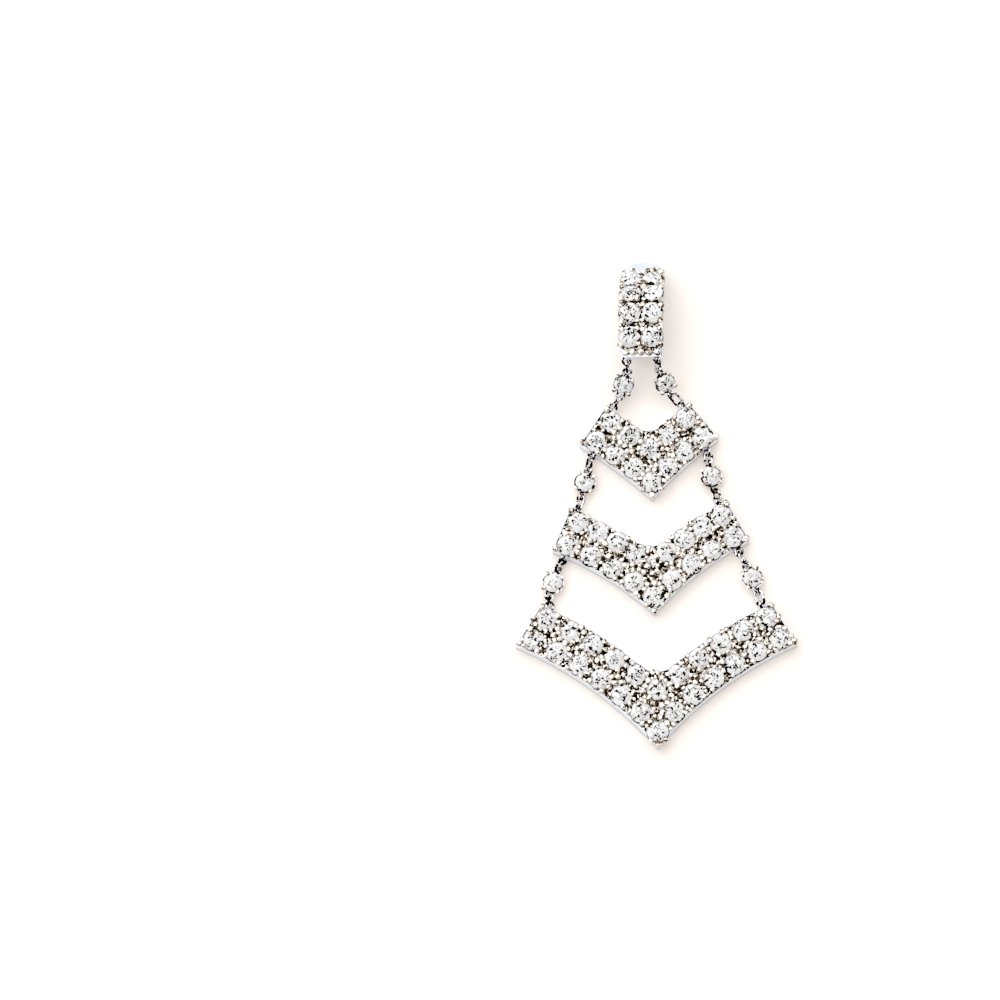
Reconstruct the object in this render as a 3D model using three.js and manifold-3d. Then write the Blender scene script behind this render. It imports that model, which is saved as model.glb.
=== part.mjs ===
// A chandelier earring of white metal and round clear stones, lying on its back as on a table.
// Millimetres, +Z up out of the stones, +Y towards the ear end, +X to the right.

import * as THREE from "three";
import { mergeVertices } from "three/addons/utils/BufferGeometryUtils.js";
import Module from "manifold-3d";

const wasm = await Module();
wasm.setup();

// Round stones set in the bar and the chevrons. table is the flat top's share of the diameter.
const STONE = { diameter: 1.94, girdle: 0.14, crown: 0.3, table: 0.56, sunk: 0.25, sides: 8 };

// The single stones of the connectors, and the cups that hold them.
const DROP_STONE = {
  diameter: 1.7, girdle: 0.1, crown: 0.28, table: 0.56, pavilion: 0.62, culet: 0.12, sides: 8,
};
const CUP = { baseRadius: 0.62, rim: 0.07, floor: 0.18, play: 0.05, footAboveTable: 0.02, sides: 10 };
const PRONG = { count: 4, radius: 0.12, tipShare: 0.7, lean: 0.09, root: 0.45, overGirdle: 0.16, sides: 5 };

// Grains are the small metal beads that hold the stones of a field.
const GRAIN = { radius: 0.24, topRadius: 0.13, height: 0.38, sunk: 0.3, reach: 0.08, shared: 1.15, sides: 5 };

// One round wire makes the eyes and the oval jump rings.
const WIRE = { diameter: 0.25, play: 0.09, sides: 5 };
const RING = { endPlay: 0.27, sidePlay: 0.12, sides: 12 };
const EYE = { height: 0.56, seat: 0.39, neck: 0.18, sides: 8 };

// Plates of the chevrons: thickness, and how far the foot spreads past the face.
const PLATE = { thickness: 1.3, spread: 0.12, corner: 0.35, rowGap: 2.2, endMargin: 0.16 };
const ARM_STEPS = 6;
const VALLEY_STEPS = 5;
const HALVINGS = 40;
const MERGE_DISTANCE = 1e-5;

// The three chevrons' main sizes: half of the span from end to end, the width of an arm from edge
// to edge, and the radius of the rounded valley between the arms.
const HALF_SPAN = { top: 6.25, middle: 8.85, bottom: 12.6 };
const ARM_WIDTH = { top: 4.15, middle: 4.1, bottom: 4.25 };
const VALLEY_RADIUS = { top: 1.6, middle: 1.9, bottom: 1.9 };

// Each arm is an arc of the same width, steep at the tip and flatter at its end. endCut leans its end
// inwards. upperEye and lowerEye are how far from the arm's corners the eyes stand.
// middle is the middle stone's share of the full size, and lift moves it up the valley.
// swing and turn are how the plate lies beside the one below.
const CHEVRONS = [
  {
    name: "chevron_top",
    halfSpan: HALF_SPAN.top, armWidth: ARM_WIDTH.top, valleyRadius: VALLEY_RADIUS.top,
    tipSlope: 45, endSlope: 34.5, endCut: 2.4,
    upper: { stones: 5, middle: 1, lift: 0.1 },
    lower: { stones: 7, middle: 1, lift: 0 },
    upperEye: 0.5, lowerEye: 1.25, swing: -0.38, turn: 2.6,
  },
  {
    name: "chevron_middle",
    halfSpan: HALF_SPAN.middle, armWidth: ARM_WIDTH.middle, valleyRadius: VALLEY_RADIUS.middle,
    tipSlope: 45.5, endSlope: 24, endCut: 1.9,
    upper: { stones: 9, middle: 0.6, lift: 0.3 },
    lower: { stones: 9, middle: 1, lift: 0.1 },
    upperEye: 0.65, lowerEye: 1.25, swing: -0.2, turn: 2.9,
  },
  {
    name: "chevron_bottom",
    halfSpan: HALF_SPAN.bottom, armWidth: ARM_WIDTH.bottom, valleyRadius: VALLEY_RADIUS.bottom,
    tipSlope: 49, endSlope: 23.5, endCut: 8.5,
    upper: { stones: 11, middle: 1, lift: 0.45 },
    lower: { stones: 13, middle: 1, lift: -0.25 },
    upperEye: 0.85, lowerEye: 1.25, swing: 0.05, turn: 0.4,
  },
];

// The bar over the ear lobe, along its front: a straight run, a bend, then a plain tongue with a round end.
const BAR = {
  width: 3.8, thickness: 1.2, tongueThickness: 0.8, spread: 0.08,
  columns: 2, columnGap: 2, rows: 4, rowGap: 2.14, endMargin: 0.83,
  startSlope: -13.5, endSlope: 40.5, bendRadius: 4.4, bendFromFirstRow: 0.5,
  tongue: 2.55, tongueRound: 1.45, eyeSpread: 1.4, swing: -1.02, roll: 5, tipAboveTable: 0.12,
};
const BEND_STEPS = 6;
const TONGUE_SHARES = [0, 0.35, 0.62, 0.82, 0.95];

// The plain strip behind the bar that closes on the ear lobe.
const CLIP = { width: 3, thickness: 0.6, bendRadius: 1.1, inset: 0.9, seatGap: 0.15 };
const CLIP_BEND_STEPS = 5;

// bow is how far a connector's stone lies to the right of the straight line between its eyes.
// A ring that stands on edge has roll 0, and one that lies flat has roll 90.
const CONNECTORS = [
  { name: "1_left", level: 0, side: -1, bow: 0.5, upperRoll: 12, lowerRoll: 22 },
  { name: "1_right", level: 0, side: 1, bow: -0.6, upperRoll: 35, lowerRoll: 52 },
  { name: "2_left", level: 1, side: -1, bow: 0.06, upperRoll: 30, lowerRoll: 58 },
  { name: "2_right", level: 1, side: 1, bow: -0.25, upperRoll: 65, lowerRoll: 48 },
  { name: "3_left", level: 2, side: -1, bow: -0.42, upperRoll: 32, lowerRoll: 15 },
  { name: "3_right", level: 2, side: 1, bow: 0.22, upperRoll: 24, lowerRoll: 66 },
];

const METAL = { color: 0xd9d6da, metalness: 1, roughness: 0.18 };
const GEM = { color: 0xe9f1fb, metalness: 0, roughness: 0.03, transparent: true, opacity: 0.6 };

// Sizes that follow from the ones above.
const wireRadius = WIRE.diameter / 2;
const eyeRadius = WIRE.diameter + WIRE.play;
const ringLength = 2 * (eyeRadius + wireRadius) + RING.endPlay;
const ringBend = WIRE.diameter + RING.sidePlay;
const stoneRadius = STONE.diameter / 2;
const dropStoneRadius = DROP_STONE.diameter / 2;
const rimRadius = dropStoneRadius + CUP.play + CUP.rim;
const girdleAboveEyes = DROP_STONE.pavilion + CUP.floor + CUP.play - EYE.height;
const cupEyeRadius = (CUP.baseRadius + rimRadius) / 2 + eyeRadius - wireRadius + EYE.neck;
const connectorLength = 2 * (EYE.seat + ringLength + cupEyeRadius);

const X = new THREE.Vector3(1, 0, 0);
const Y = new THREE.Vector3(0, 1, 0);
const Z = new THREE.Vector3(0, 0, 1);
const rad = THREE.MathUtils.degToRad;

function regular(sides, radius, height, turn = 0) {
  const points = [];
  for (let i = 0; i < sides; i += 1) {
    const angle = turn + (2 * Math.PI * i) / sides;
    points.push(new THREE.Vector3(radius * Math.cos(angle), radius * Math.sin(angle), height));
  }
  return points;
}

function fan(count) {
  const faces = [];
  for (let i = 1; i < count - 1; i += 1) {
    faces.push([0, i, i + 1]);
  }
  return faces;
}

// A closed body through rings of the same number of points, each counter-clockwise seen from the last.
function loft(rings, capFaces = fan(rings[0].length)) {
  const count = rings[0].length;
  const positions = rings.flat().flatMap((point) => point.toArray());
  const index = [];
  for (let ring = 0; ring < rings.length - 1; ring += 1) {
    for (let i = 0; i < count; i += 1) {
      const j = (i + 1) % count;
      const low = ring * count;
      const high = low + count;
      index.push(low + i, low + j, high + j);
      index.push(low + i, high + j, high + i);
    }
  }
  const last = (rings.length - 1) * count;
  for (const [a, b, c] of capFaces) {
    index.push(a, c, b);
    index.push(last + a, last + b, last + c);
  }
  const geometry = new THREE.BufferGeometry();
  geometry.setAttribute("position", new THREE.Float32BufferAttribute(positions, 3));
  geometry.setIndex(index);
  return geometry;
}

function solidOf(geometry) {
  const bare = new THREE.BufferGeometry();
  bare.setAttribute("position", geometry.getAttribute("position").clone());
  bare.setIndex(geometry.getIndex());
  const merged = mergeVertices(bare, MERGE_DISTANCE);
  const mesh = new wasm.Mesh({
    numProp: 3,
    vertProperties: new Float32Array(merged.getAttribute("position").array),
    triVerts: new Uint32Array(merged.getIndex().array),
  });
  return new wasm.Manifold(mesh);
}

function geometryOf(solid) {
  const mesh = solid.getMesh();
  const geometry = new THREE.BufferGeometry();
  geometry.setAttribute("position", new THREE.Float32BufferAttribute(mesh.vertProperties, 3));
  geometry.setIndex(new THREE.Uint32BufferAttribute(mesh.triVerts, 1));
  return geometry;
}

function fuse(geometries) {
  return geometryOf(geometries.map(solidOf).reduce((whole, next) => whole.add(next)));
}

function meshOf(name, geometry, look) {
  const flat = geometry.index ? geometry.toNonIndexed() : geometry;
  flat.deleteAttribute("normal");
  flat.computeVertexNormals();
  const mesh = new THREE.Mesh(flat, new THREE.MeshStandardMaterial({ ...look, flatShading: true }));
  mesh.name = name;
  return mesh;
}

// A place on a surface: where it is, which way the row of stones runs, and which way is out.
function frameOn(position, along, out) {
  const across = new THREE.Vector3().crossVectors(out, along);
  return new THREE.Matrix4().makeBasis(along, across, out).setPosition(position);
}

// Crown, girdle and table of a stone whose lower part is buried in its plate.
function setStone(scale) {
  const radius = stoneRadius * scale;
  const half = Math.PI / STONE.sides;
  return loft([
    regular(STONE.sides, radius, -STONE.sunk),
    regular(STONE.sides, radius, STONE.girdle),
    regular(STONE.sides, radius * STONE.table, STONE.girdle + STONE.crown * scale, half),
  ]);
}

function looseStone() {
  const radius = dropStoneRadius;
  const half = Math.PI / DROP_STONE.sides;
  return loft([
    regular(DROP_STONE.sides, radius * DROP_STONE.culet, -DROP_STONE.pavilion, half),
    regular(DROP_STONE.sides, radius, 0),
    regular(DROP_STONE.sides, radius, DROP_STONE.girdle),
    regular(DROP_STONE.sides, radius * DROP_STONE.table, DROP_STONE.girdle + DROP_STONE.crown, half),
  ]);
}

function grain() {
  return loft([
    regular(GRAIN.sides, GRAIN.radius, -GRAIN.sunk),
    regular(GRAIN.sides, GRAIN.topRadius, GRAIN.height),
  ]);
}

// Four grains hold each stone. Grains that would stand closer together than the shared distance become one.
function grainPlaces(stones) {
  const places = [];
  const distance = GRAIN.reach + stoneRadius;
  for (const stone of stones) {
    for (const quarter of [1, 3, 5, 7]) {
      const angle = (quarter * Math.PI) / 4;
      const reach = distance * stone.scale;
      const local = new THREE.Vector3(reach * Math.cos(angle), reach * Math.sin(angle), 0);
      const point = local.applyMatrix4(stone.frame);
      const near = places.find((place) => place.point.distanceTo(point) < GRAIN.shared);
      if (near) {
        near.total.add(point);
        near.count += 1;
        near.point.copy(near.total).divideScalar(near.count);
      } else {
        places.push({ point: point.clone(), total: point.clone(), count: 1, frame: stone.frame });
      }
    }
  }
  return places.map((place) => place.frame.clone().setPosition(place.point));
}

function stonesAndGrains(stones) {
  const cut = stones.map((stone) => setStone(stone.scale).applyMatrix4(stone.frame));
  const beads = grainPlaces(stones).map((frame) => grain().applyMatrix4(frame));
  return [...cut, ...beads];
}

function eyeAt(centre, normal, along) {
  const across = new THREE.Vector3().crossVectors(normal, along);
  const frame = new THREE.Matrix4().makeBasis(along, across, normal).setPosition(centre);
  return new THREE.TorusGeometry(eyeRadius, wireRadius, WIRE.sides, EYE.sides).applyMatrix4(frame);
}

function jumpRing(length) {
  const straight = length / 2 - ringBend;
  const geometry = new THREE.TorusGeometry(ringBend, wireRadius, WIRE.sides, RING.sides);
  geometry.rotateZ(Math.PI / RING.sides);
  const points = geometry.getAttribute("position");
  for (let i = 0; i < points.count; i += 1) {
    points.setX(i, points.getX(i) + Math.sign(points.getX(i)) * straight);
  }
  return geometry;
}

// The cup's seat follows the stone's underside, and its prongs lean in over the stone's edge.
function cup() {
  const foot = CUP.footAboveTable - EYE.height;
  const rimTop = girdleAboveEyes - CUP.play;
  const seatRadius = dropStoneRadius + CUP.play;
  const profile = [
    new THREE.Vector2(0, foot),
    new THREE.Vector2(CUP.baseRadius, foot),
    new THREE.Vector2(rimRadius, rimTop),
    new THREE.Vector2(seatRadius, rimTop),
    new THREE.Vector2(0, foot + CUP.floor),
  ];
  return new THREE.LatheGeometry(profile, CUP.sides).rotateX(Math.PI / 2);
}

function prong(angle) {
  const foot = girdleAboveEyes - PRONG.root;
  const waist = girdleAboveEyes;
  const top = girdleAboveEyes + DROP_STONE.girdle + PRONG.overGirdle;
  const outside = dropStoneRadius + CUP.play + PRONG.radius;
  const at = (radius, height, size) =>
    regular(PRONG.sides, size, height).map((point) => point.add(new THREE.Vector3(radius, 0, 0)));
  const rings = [
    at(outside - PRONG.radius, foot, PRONG.radius),
    at(outside, waist, PRONG.radius),
    at(outside - PRONG.lean, top, PRONG.radius * PRONG.tipShare),
  ];
  return loft(rings).rotateZ(angle);
}

function chevronArcs(chevron) {
  const tip = rad(chevron.tipSlope);
  const end = rad(chevron.endSlope);
  const radius = chevron.halfSpan / (Math.sin(tip) - Math.sin(end));
  const centre = new THREE.Vector2(radius * Math.sin(tip), -radius * Math.cos(tip));
  // A point of the right arm, by its slope there and its distance above the lower edge.
  const point = (slope, above) =>
    new THREE.Vector2(
      centre.x - (radius + above) * Math.sin(slope),
      centre.y + (radius + above) * Math.cos(slope),
    );
  const slopeAt = (x, above) => Math.asin((centre.x - x) / (radius + above));
  const lean = Math.tan(rad(chevron.endCut));
  const slopeFromEnd = (distance, above) => end + (distance + above * lean) / (radius + above);
  return { point, slopeAt, slopeFromEnd };
}

// Half of the outline, from the tip round the right end to the middle of the valley.
function halfOutline(chevron, grow) {
  const arcs = chevronArcs(chevron);
  const top = chevron.armWidth + grow;
  const low = -grow;
  const outline = [];
  const lowTip = arcs.slopeAt(0, low);
  const lowEnd = arcs.slopeFromEnd(PLATE.corner - grow, low);
  for (let i = 0; i <= ARM_STEPS; i += 1) {
    outline.push(arcs.point(THREE.MathUtils.lerp(lowTip, lowEnd, i / ARM_STEPS), low));
  }
  outline.push(arcs.point(arcs.slopeFromEnd(-grow, low + PLATE.corner), low + PLATE.corner));
  outline.push(arcs.point(arcs.slopeFromEnd(-grow, top - PLATE.corner), top - PLATE.corner));
  const valleyRadius = chevron.valleyRadius - grow;
  const slope = arcs.slopeAt(0, top);
  const topStart = arcs.slopeFromEnd(PLATE.corner - grow, top);
  const topStop = arcs.slopeAt(valleyRadius * Math.sin(slope), top);
  for (let i = 0; i < ARM_STEPS; i += 1) {
    outline.push(arcs.point(THREE.MathUtils.lerp(topStart, topStop, i / ARM_STEPS), top));
  }
  const meet = arcs.point(topStop, top);
  const valleyY = meet.y + valleyRadius * Math.cos(topStop);
  for (let i = 0; i <= VALLEY_STEPS; i += 1) {
    const angle = topStop * (1 - i / VALLEY_STEPS);
    outline.push(new THREE.Vector2(meet.x * (Math.sin(angle) / Math.sin(topStop)),
      valleyY - valleyRadius * Math.cos(angle)));
  }
  return outline;
}

function fullOutline(chevron, grow) {
  const right = halfOutline(chevron, grow);
  const left = right.slice(1, -1).reverse();
  return [...right, ...left.map((point) => new THREE.Vector2(-point.x, point.y))];
}

function plate(chevron) {
  const foot = fullOutline(chevron, PLATE.spread);
  const face = fullOutline(chevron, 0);
  const capFaces = THREE.ShapeUtils.triangulateShape(face, []);
  const ring = (outline, height) => outline.map((point) => new THREE.Vector3(point.x, point.y, height));
  return loft([ring(foot, 0), ring(face, PLATE.thickness)], capFaces);
}

// Stones of one row, evenly along the arm from its end, with the middle stone one pitch from both arms.
function rowStones(chevron, row, above) {
  const arcs = chevronArcs(chevron);
  const perArm = (row.stones - 1) / 2;
  const inset = stoneRadius + PLATE.endMargin;
  const middleSlope = arcs.slopeAt(0, above);
  const middle = arcs.point(middleSlope, above).add(new THREE.Vector2(0, row.lift));
  const slopeOf = (k, pitch) => arcs.slopeFromEnd(inset + k * pitch, above);
  const smaller = stoneRadius * (1 - row.middle);
  let low = 0;
  let high = chevron.halfSpan;
  for (let i = 0; i < HALVINGS; i += 1) {
    const pitch = (low + high) / 2;
    const last = arcs.point(slopeOf(perArm - 1, pitch), above);
    if (last.x > 0 && last.distanceTo(middle) > pitch - smaller) {
      low = pitch;
    } else {
      high = pitch;
    }
  }
  const stones = [{ x: middle.x, y: middle.y, slope: 0, scale: row.middle }];
  for (let k = 0; k < perArm; k += 1) {
    const slope = slopeOf(k, low);
    const point = arcs.point(slope, above);
    stones.push({ x: point.x, y: point.y, slope, scale: 1 });
    stones.push({ x: -point.x, y: point.y, slope: -slope, scale: 1 });
  }
  return stones;
}

function chevronStones(chevron) {
  const centre = chevron.armWidth / 2;
  const rows = [
    ...rowStones(chevron, chevron.upper, centre + PLATE.rowGap / 2),
    ...rowStones(chevron, chevron.lower, centre - PLATE.rowGap / 2),
  ];
  return rows.map((stone) => {
    const along = new THREE.Vector3(Math.cos(stone.slope), Math.sin(stone.slope), 0);
    const position = new THREE.Vector3(stone.x, stone.y, PLATE.thickness);
    return { frame: frameOn(position, along, Z), scale: stone.scale };
  });
}

// Where a connector meets the plate: on its upper edge, or on its lower edge.
function plateEdge(chevron, side, upper) {
  const arcs = chevronArcs(chevron);
  const above = upper ? chevron.armWidth : 0;
  const distance = upper ? chevron.upperEye : chevron.lowerEye;
  const point = arcs.point(arcs.slopeFromEnd(distance, above), above);
  return new THREE.Vector3(side * point.x, point.y, EYE.height);
}

// The bar's front line, by the distance from its lower end.
const firstRow = stoneRadius + BAR.endMargin;
const lastRow = firstRow + BAR.rowGap * (BAR.rows - 1);
const barLength = lastRow + BAR.tongue;
const bendStart = firstRow + BAR.bendFromFirstRow;
const bendLength = rad(BAR.endSlope - BAR.startSlope) * BAR.bendRadius;

function barFront(distance) {
  const start = rad(BAR.startSlope);
  const straight = Math.min(distance, bendStart);
  const bent = THREE.MathUtils.clamp(distance - bendStart, 0, bendLength);
  const rest = Math.max(distance - bendStart - bendLength, 0);
  const slope = start + bent / BAR.bendRadius;
  const y = straight * Math.cos(start) + BAR.bendRadius * (Math.sin(slope) - Math.sin(start)) +
    rest * Math.cos(slope);
  const z = -straight * Math.sin(start) + BAR.bendRadius * (Math.cos(slope) - Math.cos(start)) -
    rest * Math.sin(slope);
  return { y, z, slope };
}

function barThickness(distance) {
  const share = THREE.MathUtils.clamp((distance - lastRow) / BAR.tongue, 0, 1);
  return THREE.MathUtils.lerp(BAR.thickness, BAR.tongueThickness, share);
}

const tonguePoint = barFront(barLength);
const barLift = BAR.tipAboveTable - tonguePoint.z + BAR.tongueThickness * Math.cos(tonguePoint.slope);

function barPoint(distance, x, depth) {
  const { y, z, slope } = barFront(distance);
  return new THREE.Vector3(x, y - depth * Math.sin(slope), z - depth * Math.cos(slope) + barLift);
}

function barSection(distance, widthShare) {
  const depth = barThickness(distance);
  const front = (BAR.width / 2) * widthShare;
  const back = front + BAR.spread;
  return [
    barPoint(distance, -front, 0),
    barPoint(distance, front, 0),
    barPoint(distance, back, depth),
    barPoint(distance, -back, depth),
  ];
}

function barStrip() {
  const sections = [barSection(0, 1)];
  for (let i = 0; i <= BEND_STEPS; i += 1) {
    sections.push(barSection(bendStart + (bendLength * i) / BEND_STEPS, 1));
  }
  for (const share of TONGUE_SHARES) {
    const distance = barLength - BAR.tongueRound * (1 - share);
    sections.push(barSection(distance, Math.sqrt(1 - share * share)));
  }
  return loft(sections);
}

function barStones() {
  const stones = [];
  for (let row = 0; row < BAR.rows; row += 1) {
    const distance = firstRow + row * BAR.rowGap;
    const { slope } = barFront(distance);
    const out = new THREE.Vector3(0, Math.sin(slope), Math.cos(slope));
    for (let column = 0; column < BAR.columns; column += 1) {
      const x = (column - (BAR.columns - 1) / 2) * BAR.columnGap;
      stones.push({ frame: frameOn(barPoint(distance, x, 0), X, out), scale: 1 });
    }
  }
  return stones;
}

// The strip stands under the lower end of the bar, bends, and runs along the table to the tongue.
function clipStrip() {
  const tongueBack = barPoint(barLength, 0, BAR.tongueThickness);
  const tongueTan = Math.tan(tonguePoint.slope);
  const tongueGap = CLIP.seatGap / Math.sin(tonguePoint.slope);
  const tailAt = (z) => tongueBack.y - (z - tongueBack.z) / tongueTan - tongueGap;
  const legBack = barPoint(CLIP.inset, 0, BAR.thickness);
  const legTan = -Math.tan(rad(BAR.startSlope));
  const legTop = (y) => legBack.z + (y - legBack.y) * legTan - CLIP.seatGap;
  const near = CLIP.inset;
  const far = near + CLIP.thickness;
  const corner = near + CLIP.bendRadius;
  const outline = new THREE.Shape();
  outline.moveTo(tailAt(0), 0);
  outline.lineTo(tailAt(CLIP.thickness), CLIP.thickness);
  const inner = CLIP.bendRadius - CLIP.thickness;
  outline.lineTo(corner, CLIP.thickness);
  outline.absarc(corner, CLIP.bendRadius, inner, -Math.PI / 2, -Math.PI, true);
  outline.lineTo(far, legTop(far));
  outline.lineTo(near, legTop(near));
  outline.lineTo(near, CLIP.bendRadius);
  outline.absarc(corner, CLIP.bendRadius, CLIP.bendRadius, Math.PI, (3 * Math.PI) / 2, false);
  const options = { depth: CLIP.width, bevelEnabled: false, curveSegments: CLIP_BEND_STEPS };
  const strip = new THREE.ExtrudeGeometry(outline, options);
  strip.translate(0, 0, -CLIP.width / 2);
  return strip.applyMatrix4(new THREE.Matrix4().makeBasis(Y, Z, X));
}

// How the bar lies: rolled a little to its left, on the edge of its strip.
const barFrame = new THREE.Matrix4().makeRotationY(-rad(BAR.roll));
barFrame.setPosition(BAR.swing, 0, (CLIP.width / 2) * Math.sin(rad(BAR.roll)));

// Each chevron hangs a connector's length below what carries it, as the mean of its two sides.
function barEdge(side) {
  return barPoint(0, side * BAR.eyeSpread, BAR.thickness / 2).applyMatrix4(barFrame);
}

const carriers = [barEdge];
const chevronFrames = [];
for (const chevron of CHEVRONS) {
  const frame = new THREE.Matrix4().makeRotationZ(rad(chevron.turn));
  const carrier = carriers[carriers.length - 1];
  let height = 0;
  for (const side of [-1, 1]) {
    const from = carrier(side);
    const to = plateEdge(chevron, side, true).applyMatrix4(frame);
    const across = Math.hypot(to.x + chevron.swing - from.x, to.z - from.z);
    height += (from.y - to.y - Math.sqrt(connectorLength ** 2 - across ** 2)) / 2;
  }
  frame.setPosition(chevron.swing, height, 0);
  chevronFrames.push(frame);
  carriers.push((side) => plateEdge(chevron, side, false).applyMatrix4(frame));
}

// A connector runs from the plate above to the plate below: ring, cup with its stone, ring.
function connectorParts(connector) {
  const from = carriers[connector.level](connector.side);
  const frame = chevronFrames[connector.level];
  const to = plateEdge(CHEVRONS[connector.level], connector.side, true).applyMatrix4(frame);
  const along = to.clone().sub(from).normalize();
  const centre = from.clone().add(to).multiplyScalar(0.5).addScaledVector(X, connector.bow);
  const upperEye = centre.clone().addScaledVector(along, -cupEyeRadius);
  const lowerEye = centre.clone().addScaledVector(along, cupEyeRadius);
  const links = [
    { place: "upper", from, cupEye: upperEye, roll: connector.upperRoll },
    { place: "lower", from: to, cupEye: lowerEye, roll: connector.lowerRoll },
  ];
  for (const link of links) {
    link.along = link.cupEye.clone().sub(link.from).normalize();
    link.plateEye = link.from.clone().addScaledVector(link.along, EYE.seat);
    const side = new THREE.Vector3().crossVectors(link.along, Z).normalize();
    const up = new THREE.Vector3().crossVectors(side, link.along);
    link.across = up.multiplyScalar(Math.cos(rad(link.roll))).addScaledVector(side, Math.sin(rad(link.roll)));
  }
  const up = Z.clone().addScaledVector(along, -Z.dot(along)).normalize();
  return { centre, along, up, links };
}

const connectors = CONNECTORS.map((connector) => ({ ...connector, ...connectorParts(connector) }));

// Eyes are soldered to the plate that they stand on, so they are made in that plate's own frame.
function eyesOn(frame, links) {
  const home = frame.clone().invert();
  return links.map((link) => eyeAt(link.plateEye, link.across, link.along).applyMatrix4(home));
}

const upperLinks = (level) => connectors.filter((one) => one.level === level).map((one) => one.links[0]);
const lowerLinks = (level) => connectors.filter((one) => one.level === level).map((one) => one.links[1]);

const model = new THREE.Group();

const barBody = fuse([barStrip(), ...stonesAndGrains(barStones()), ...eyesOn(barFrame, upperLinks(0))]);
for (const mesh of [meshOf("top_bar", barBody, METAL), meshOf("ear_clip", clipStrip(), METAL)]) {
  mesh.applyMatrix4(barFrame);
  model.add(mesh);
}

CHEVRONS.forEach((chevron, level) => {
  const frame = chevronFrames[level];
  const eyes = eyesOn(frame, [...lowerLinks(level), ...upperLinks(level + 1)]);
  const body = fuse([plate(chevron), ...stonesAndGrains(chevronStones(chevron)), ...eyes]);
  const mesh = meshOf(chevron.name, body, METAL);
  mesh.applyMatrix4(frame);
  model.add(mesh);
});

for (const connector of connectors) {
  const frame = frameOn(connector.centre, connector.along, connector.up);
  const home = frame.clone().invert();
  const pieces = [cup()];
  for (let i = 0; i < PRONG.count; i += 1) {
    pieces.push(prong(((i + 0.5) * 2 * Math.PI) / PRONG.count));
  }
  for (const link of connector.links) {
    pieces.push(eyeAt(link.cupEye, link.across, link.along).applyMatrix4(home));
  }
  const setting = meshOf(`setting_${connector.name}`, fuse(pieces), METAL);
  const stone = meshOf(`stone_${connector.name}`, looseStone().translate(0, 0, girdleAboveEyes), GEM);
  for (const mesh of [setting, stone]) {
    mesh.applyMatrix4(frame);
    model.add(mesh);
  }
  for (const link of connector.links) {
    const oval = jumpRing(link.cupEye.distanceTo(link.plateEye));
    const ring = meshOf(`ring_${connector.name}_${link.place}`, oval, METAL);
    const middle = link.cupEye.clone().add(link.plateEye).multiplyScalar(0.5);
    const normal = new THREE.Vector3().crossVectors(link.along, link.across);
    ring.applyMatrix4(frameOn(middle, link.along, normal));
    model.add(ring);
  }
}

// The origin is under the middle of the whole earring, on the table.
model.updateMatrixWorld(true);
const extent = new THREE.Box3().setFromObject(model, true);
const middle = extent.getCenter(new THREE.Vector3());
model.position.set(-middle.x, -middle.y, -extent.min.z);
model.updateMatrixWorld(true);

const group = new THREE.Group();
group.add(model);

export default group;
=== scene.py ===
# %% [markdown]
# # A chandelier earring on a white table
#
# The earring is white metal and round clear stones. It lies on its back: a curved bar for the ear
# lobe at the top, then three chevrons, each wider than the last, hung on short links.
#
# The solids are already made and packed. This file loads them as a fixed frame and dresses each one
# with a finer piece: polished plates, cut stones, beads, wire rings and cups.
# A jeweller works in millimetres, so every size here is in millimetres. Blender works in metres, so
# one factor turns the finished meshes into metres.

# %% Load the solids
import math
import random

import bmesh
import bpy
from mathutils import Matrix, Vector


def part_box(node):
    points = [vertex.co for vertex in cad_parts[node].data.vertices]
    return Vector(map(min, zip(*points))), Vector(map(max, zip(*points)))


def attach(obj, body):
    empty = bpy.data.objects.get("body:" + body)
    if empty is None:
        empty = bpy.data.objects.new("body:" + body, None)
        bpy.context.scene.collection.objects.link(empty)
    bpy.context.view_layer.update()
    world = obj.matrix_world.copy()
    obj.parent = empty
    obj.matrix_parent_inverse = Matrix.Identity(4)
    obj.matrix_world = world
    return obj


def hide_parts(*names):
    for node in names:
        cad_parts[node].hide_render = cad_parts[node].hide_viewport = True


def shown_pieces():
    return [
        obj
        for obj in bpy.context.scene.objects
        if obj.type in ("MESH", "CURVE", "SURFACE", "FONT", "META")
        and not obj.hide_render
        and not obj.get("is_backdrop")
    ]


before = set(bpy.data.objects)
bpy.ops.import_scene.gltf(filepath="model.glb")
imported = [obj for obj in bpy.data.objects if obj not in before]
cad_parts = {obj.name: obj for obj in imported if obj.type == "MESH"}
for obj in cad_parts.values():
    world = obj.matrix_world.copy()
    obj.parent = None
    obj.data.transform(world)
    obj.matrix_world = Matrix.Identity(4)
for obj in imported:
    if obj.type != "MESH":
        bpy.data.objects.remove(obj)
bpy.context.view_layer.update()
BODY = "root"
METRES = 0.001

# %% [markdown]
# ## The sizes of the real parts
#
# These are the named sizes that the solids were made from. Only the stones, beads and prongs differ, by
# a few hundredths, because they have more facets and rounder heads here. The stones are the common
# 2 mm size, and nearly everything else follows from them: how far apart the rows stand, how wide a
# chevron's arm is, how thick the wire of a ring is. Keeping one table of sizes lets every piece below
# meet its neighbour without any fitting by eye.

# %% Sizes of the stones, beads, wire and plates
STONE = {"diameter": 1.94, "girdle": 0.17, "crown": 0.27, "table": 0.56, "pavilion": 0.5}
DROP_STONE = {"diameter": 1.7, "girdle": 0.12, "crown": 0.25, "table": 0.56, "pavilion": 0.6}
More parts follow.
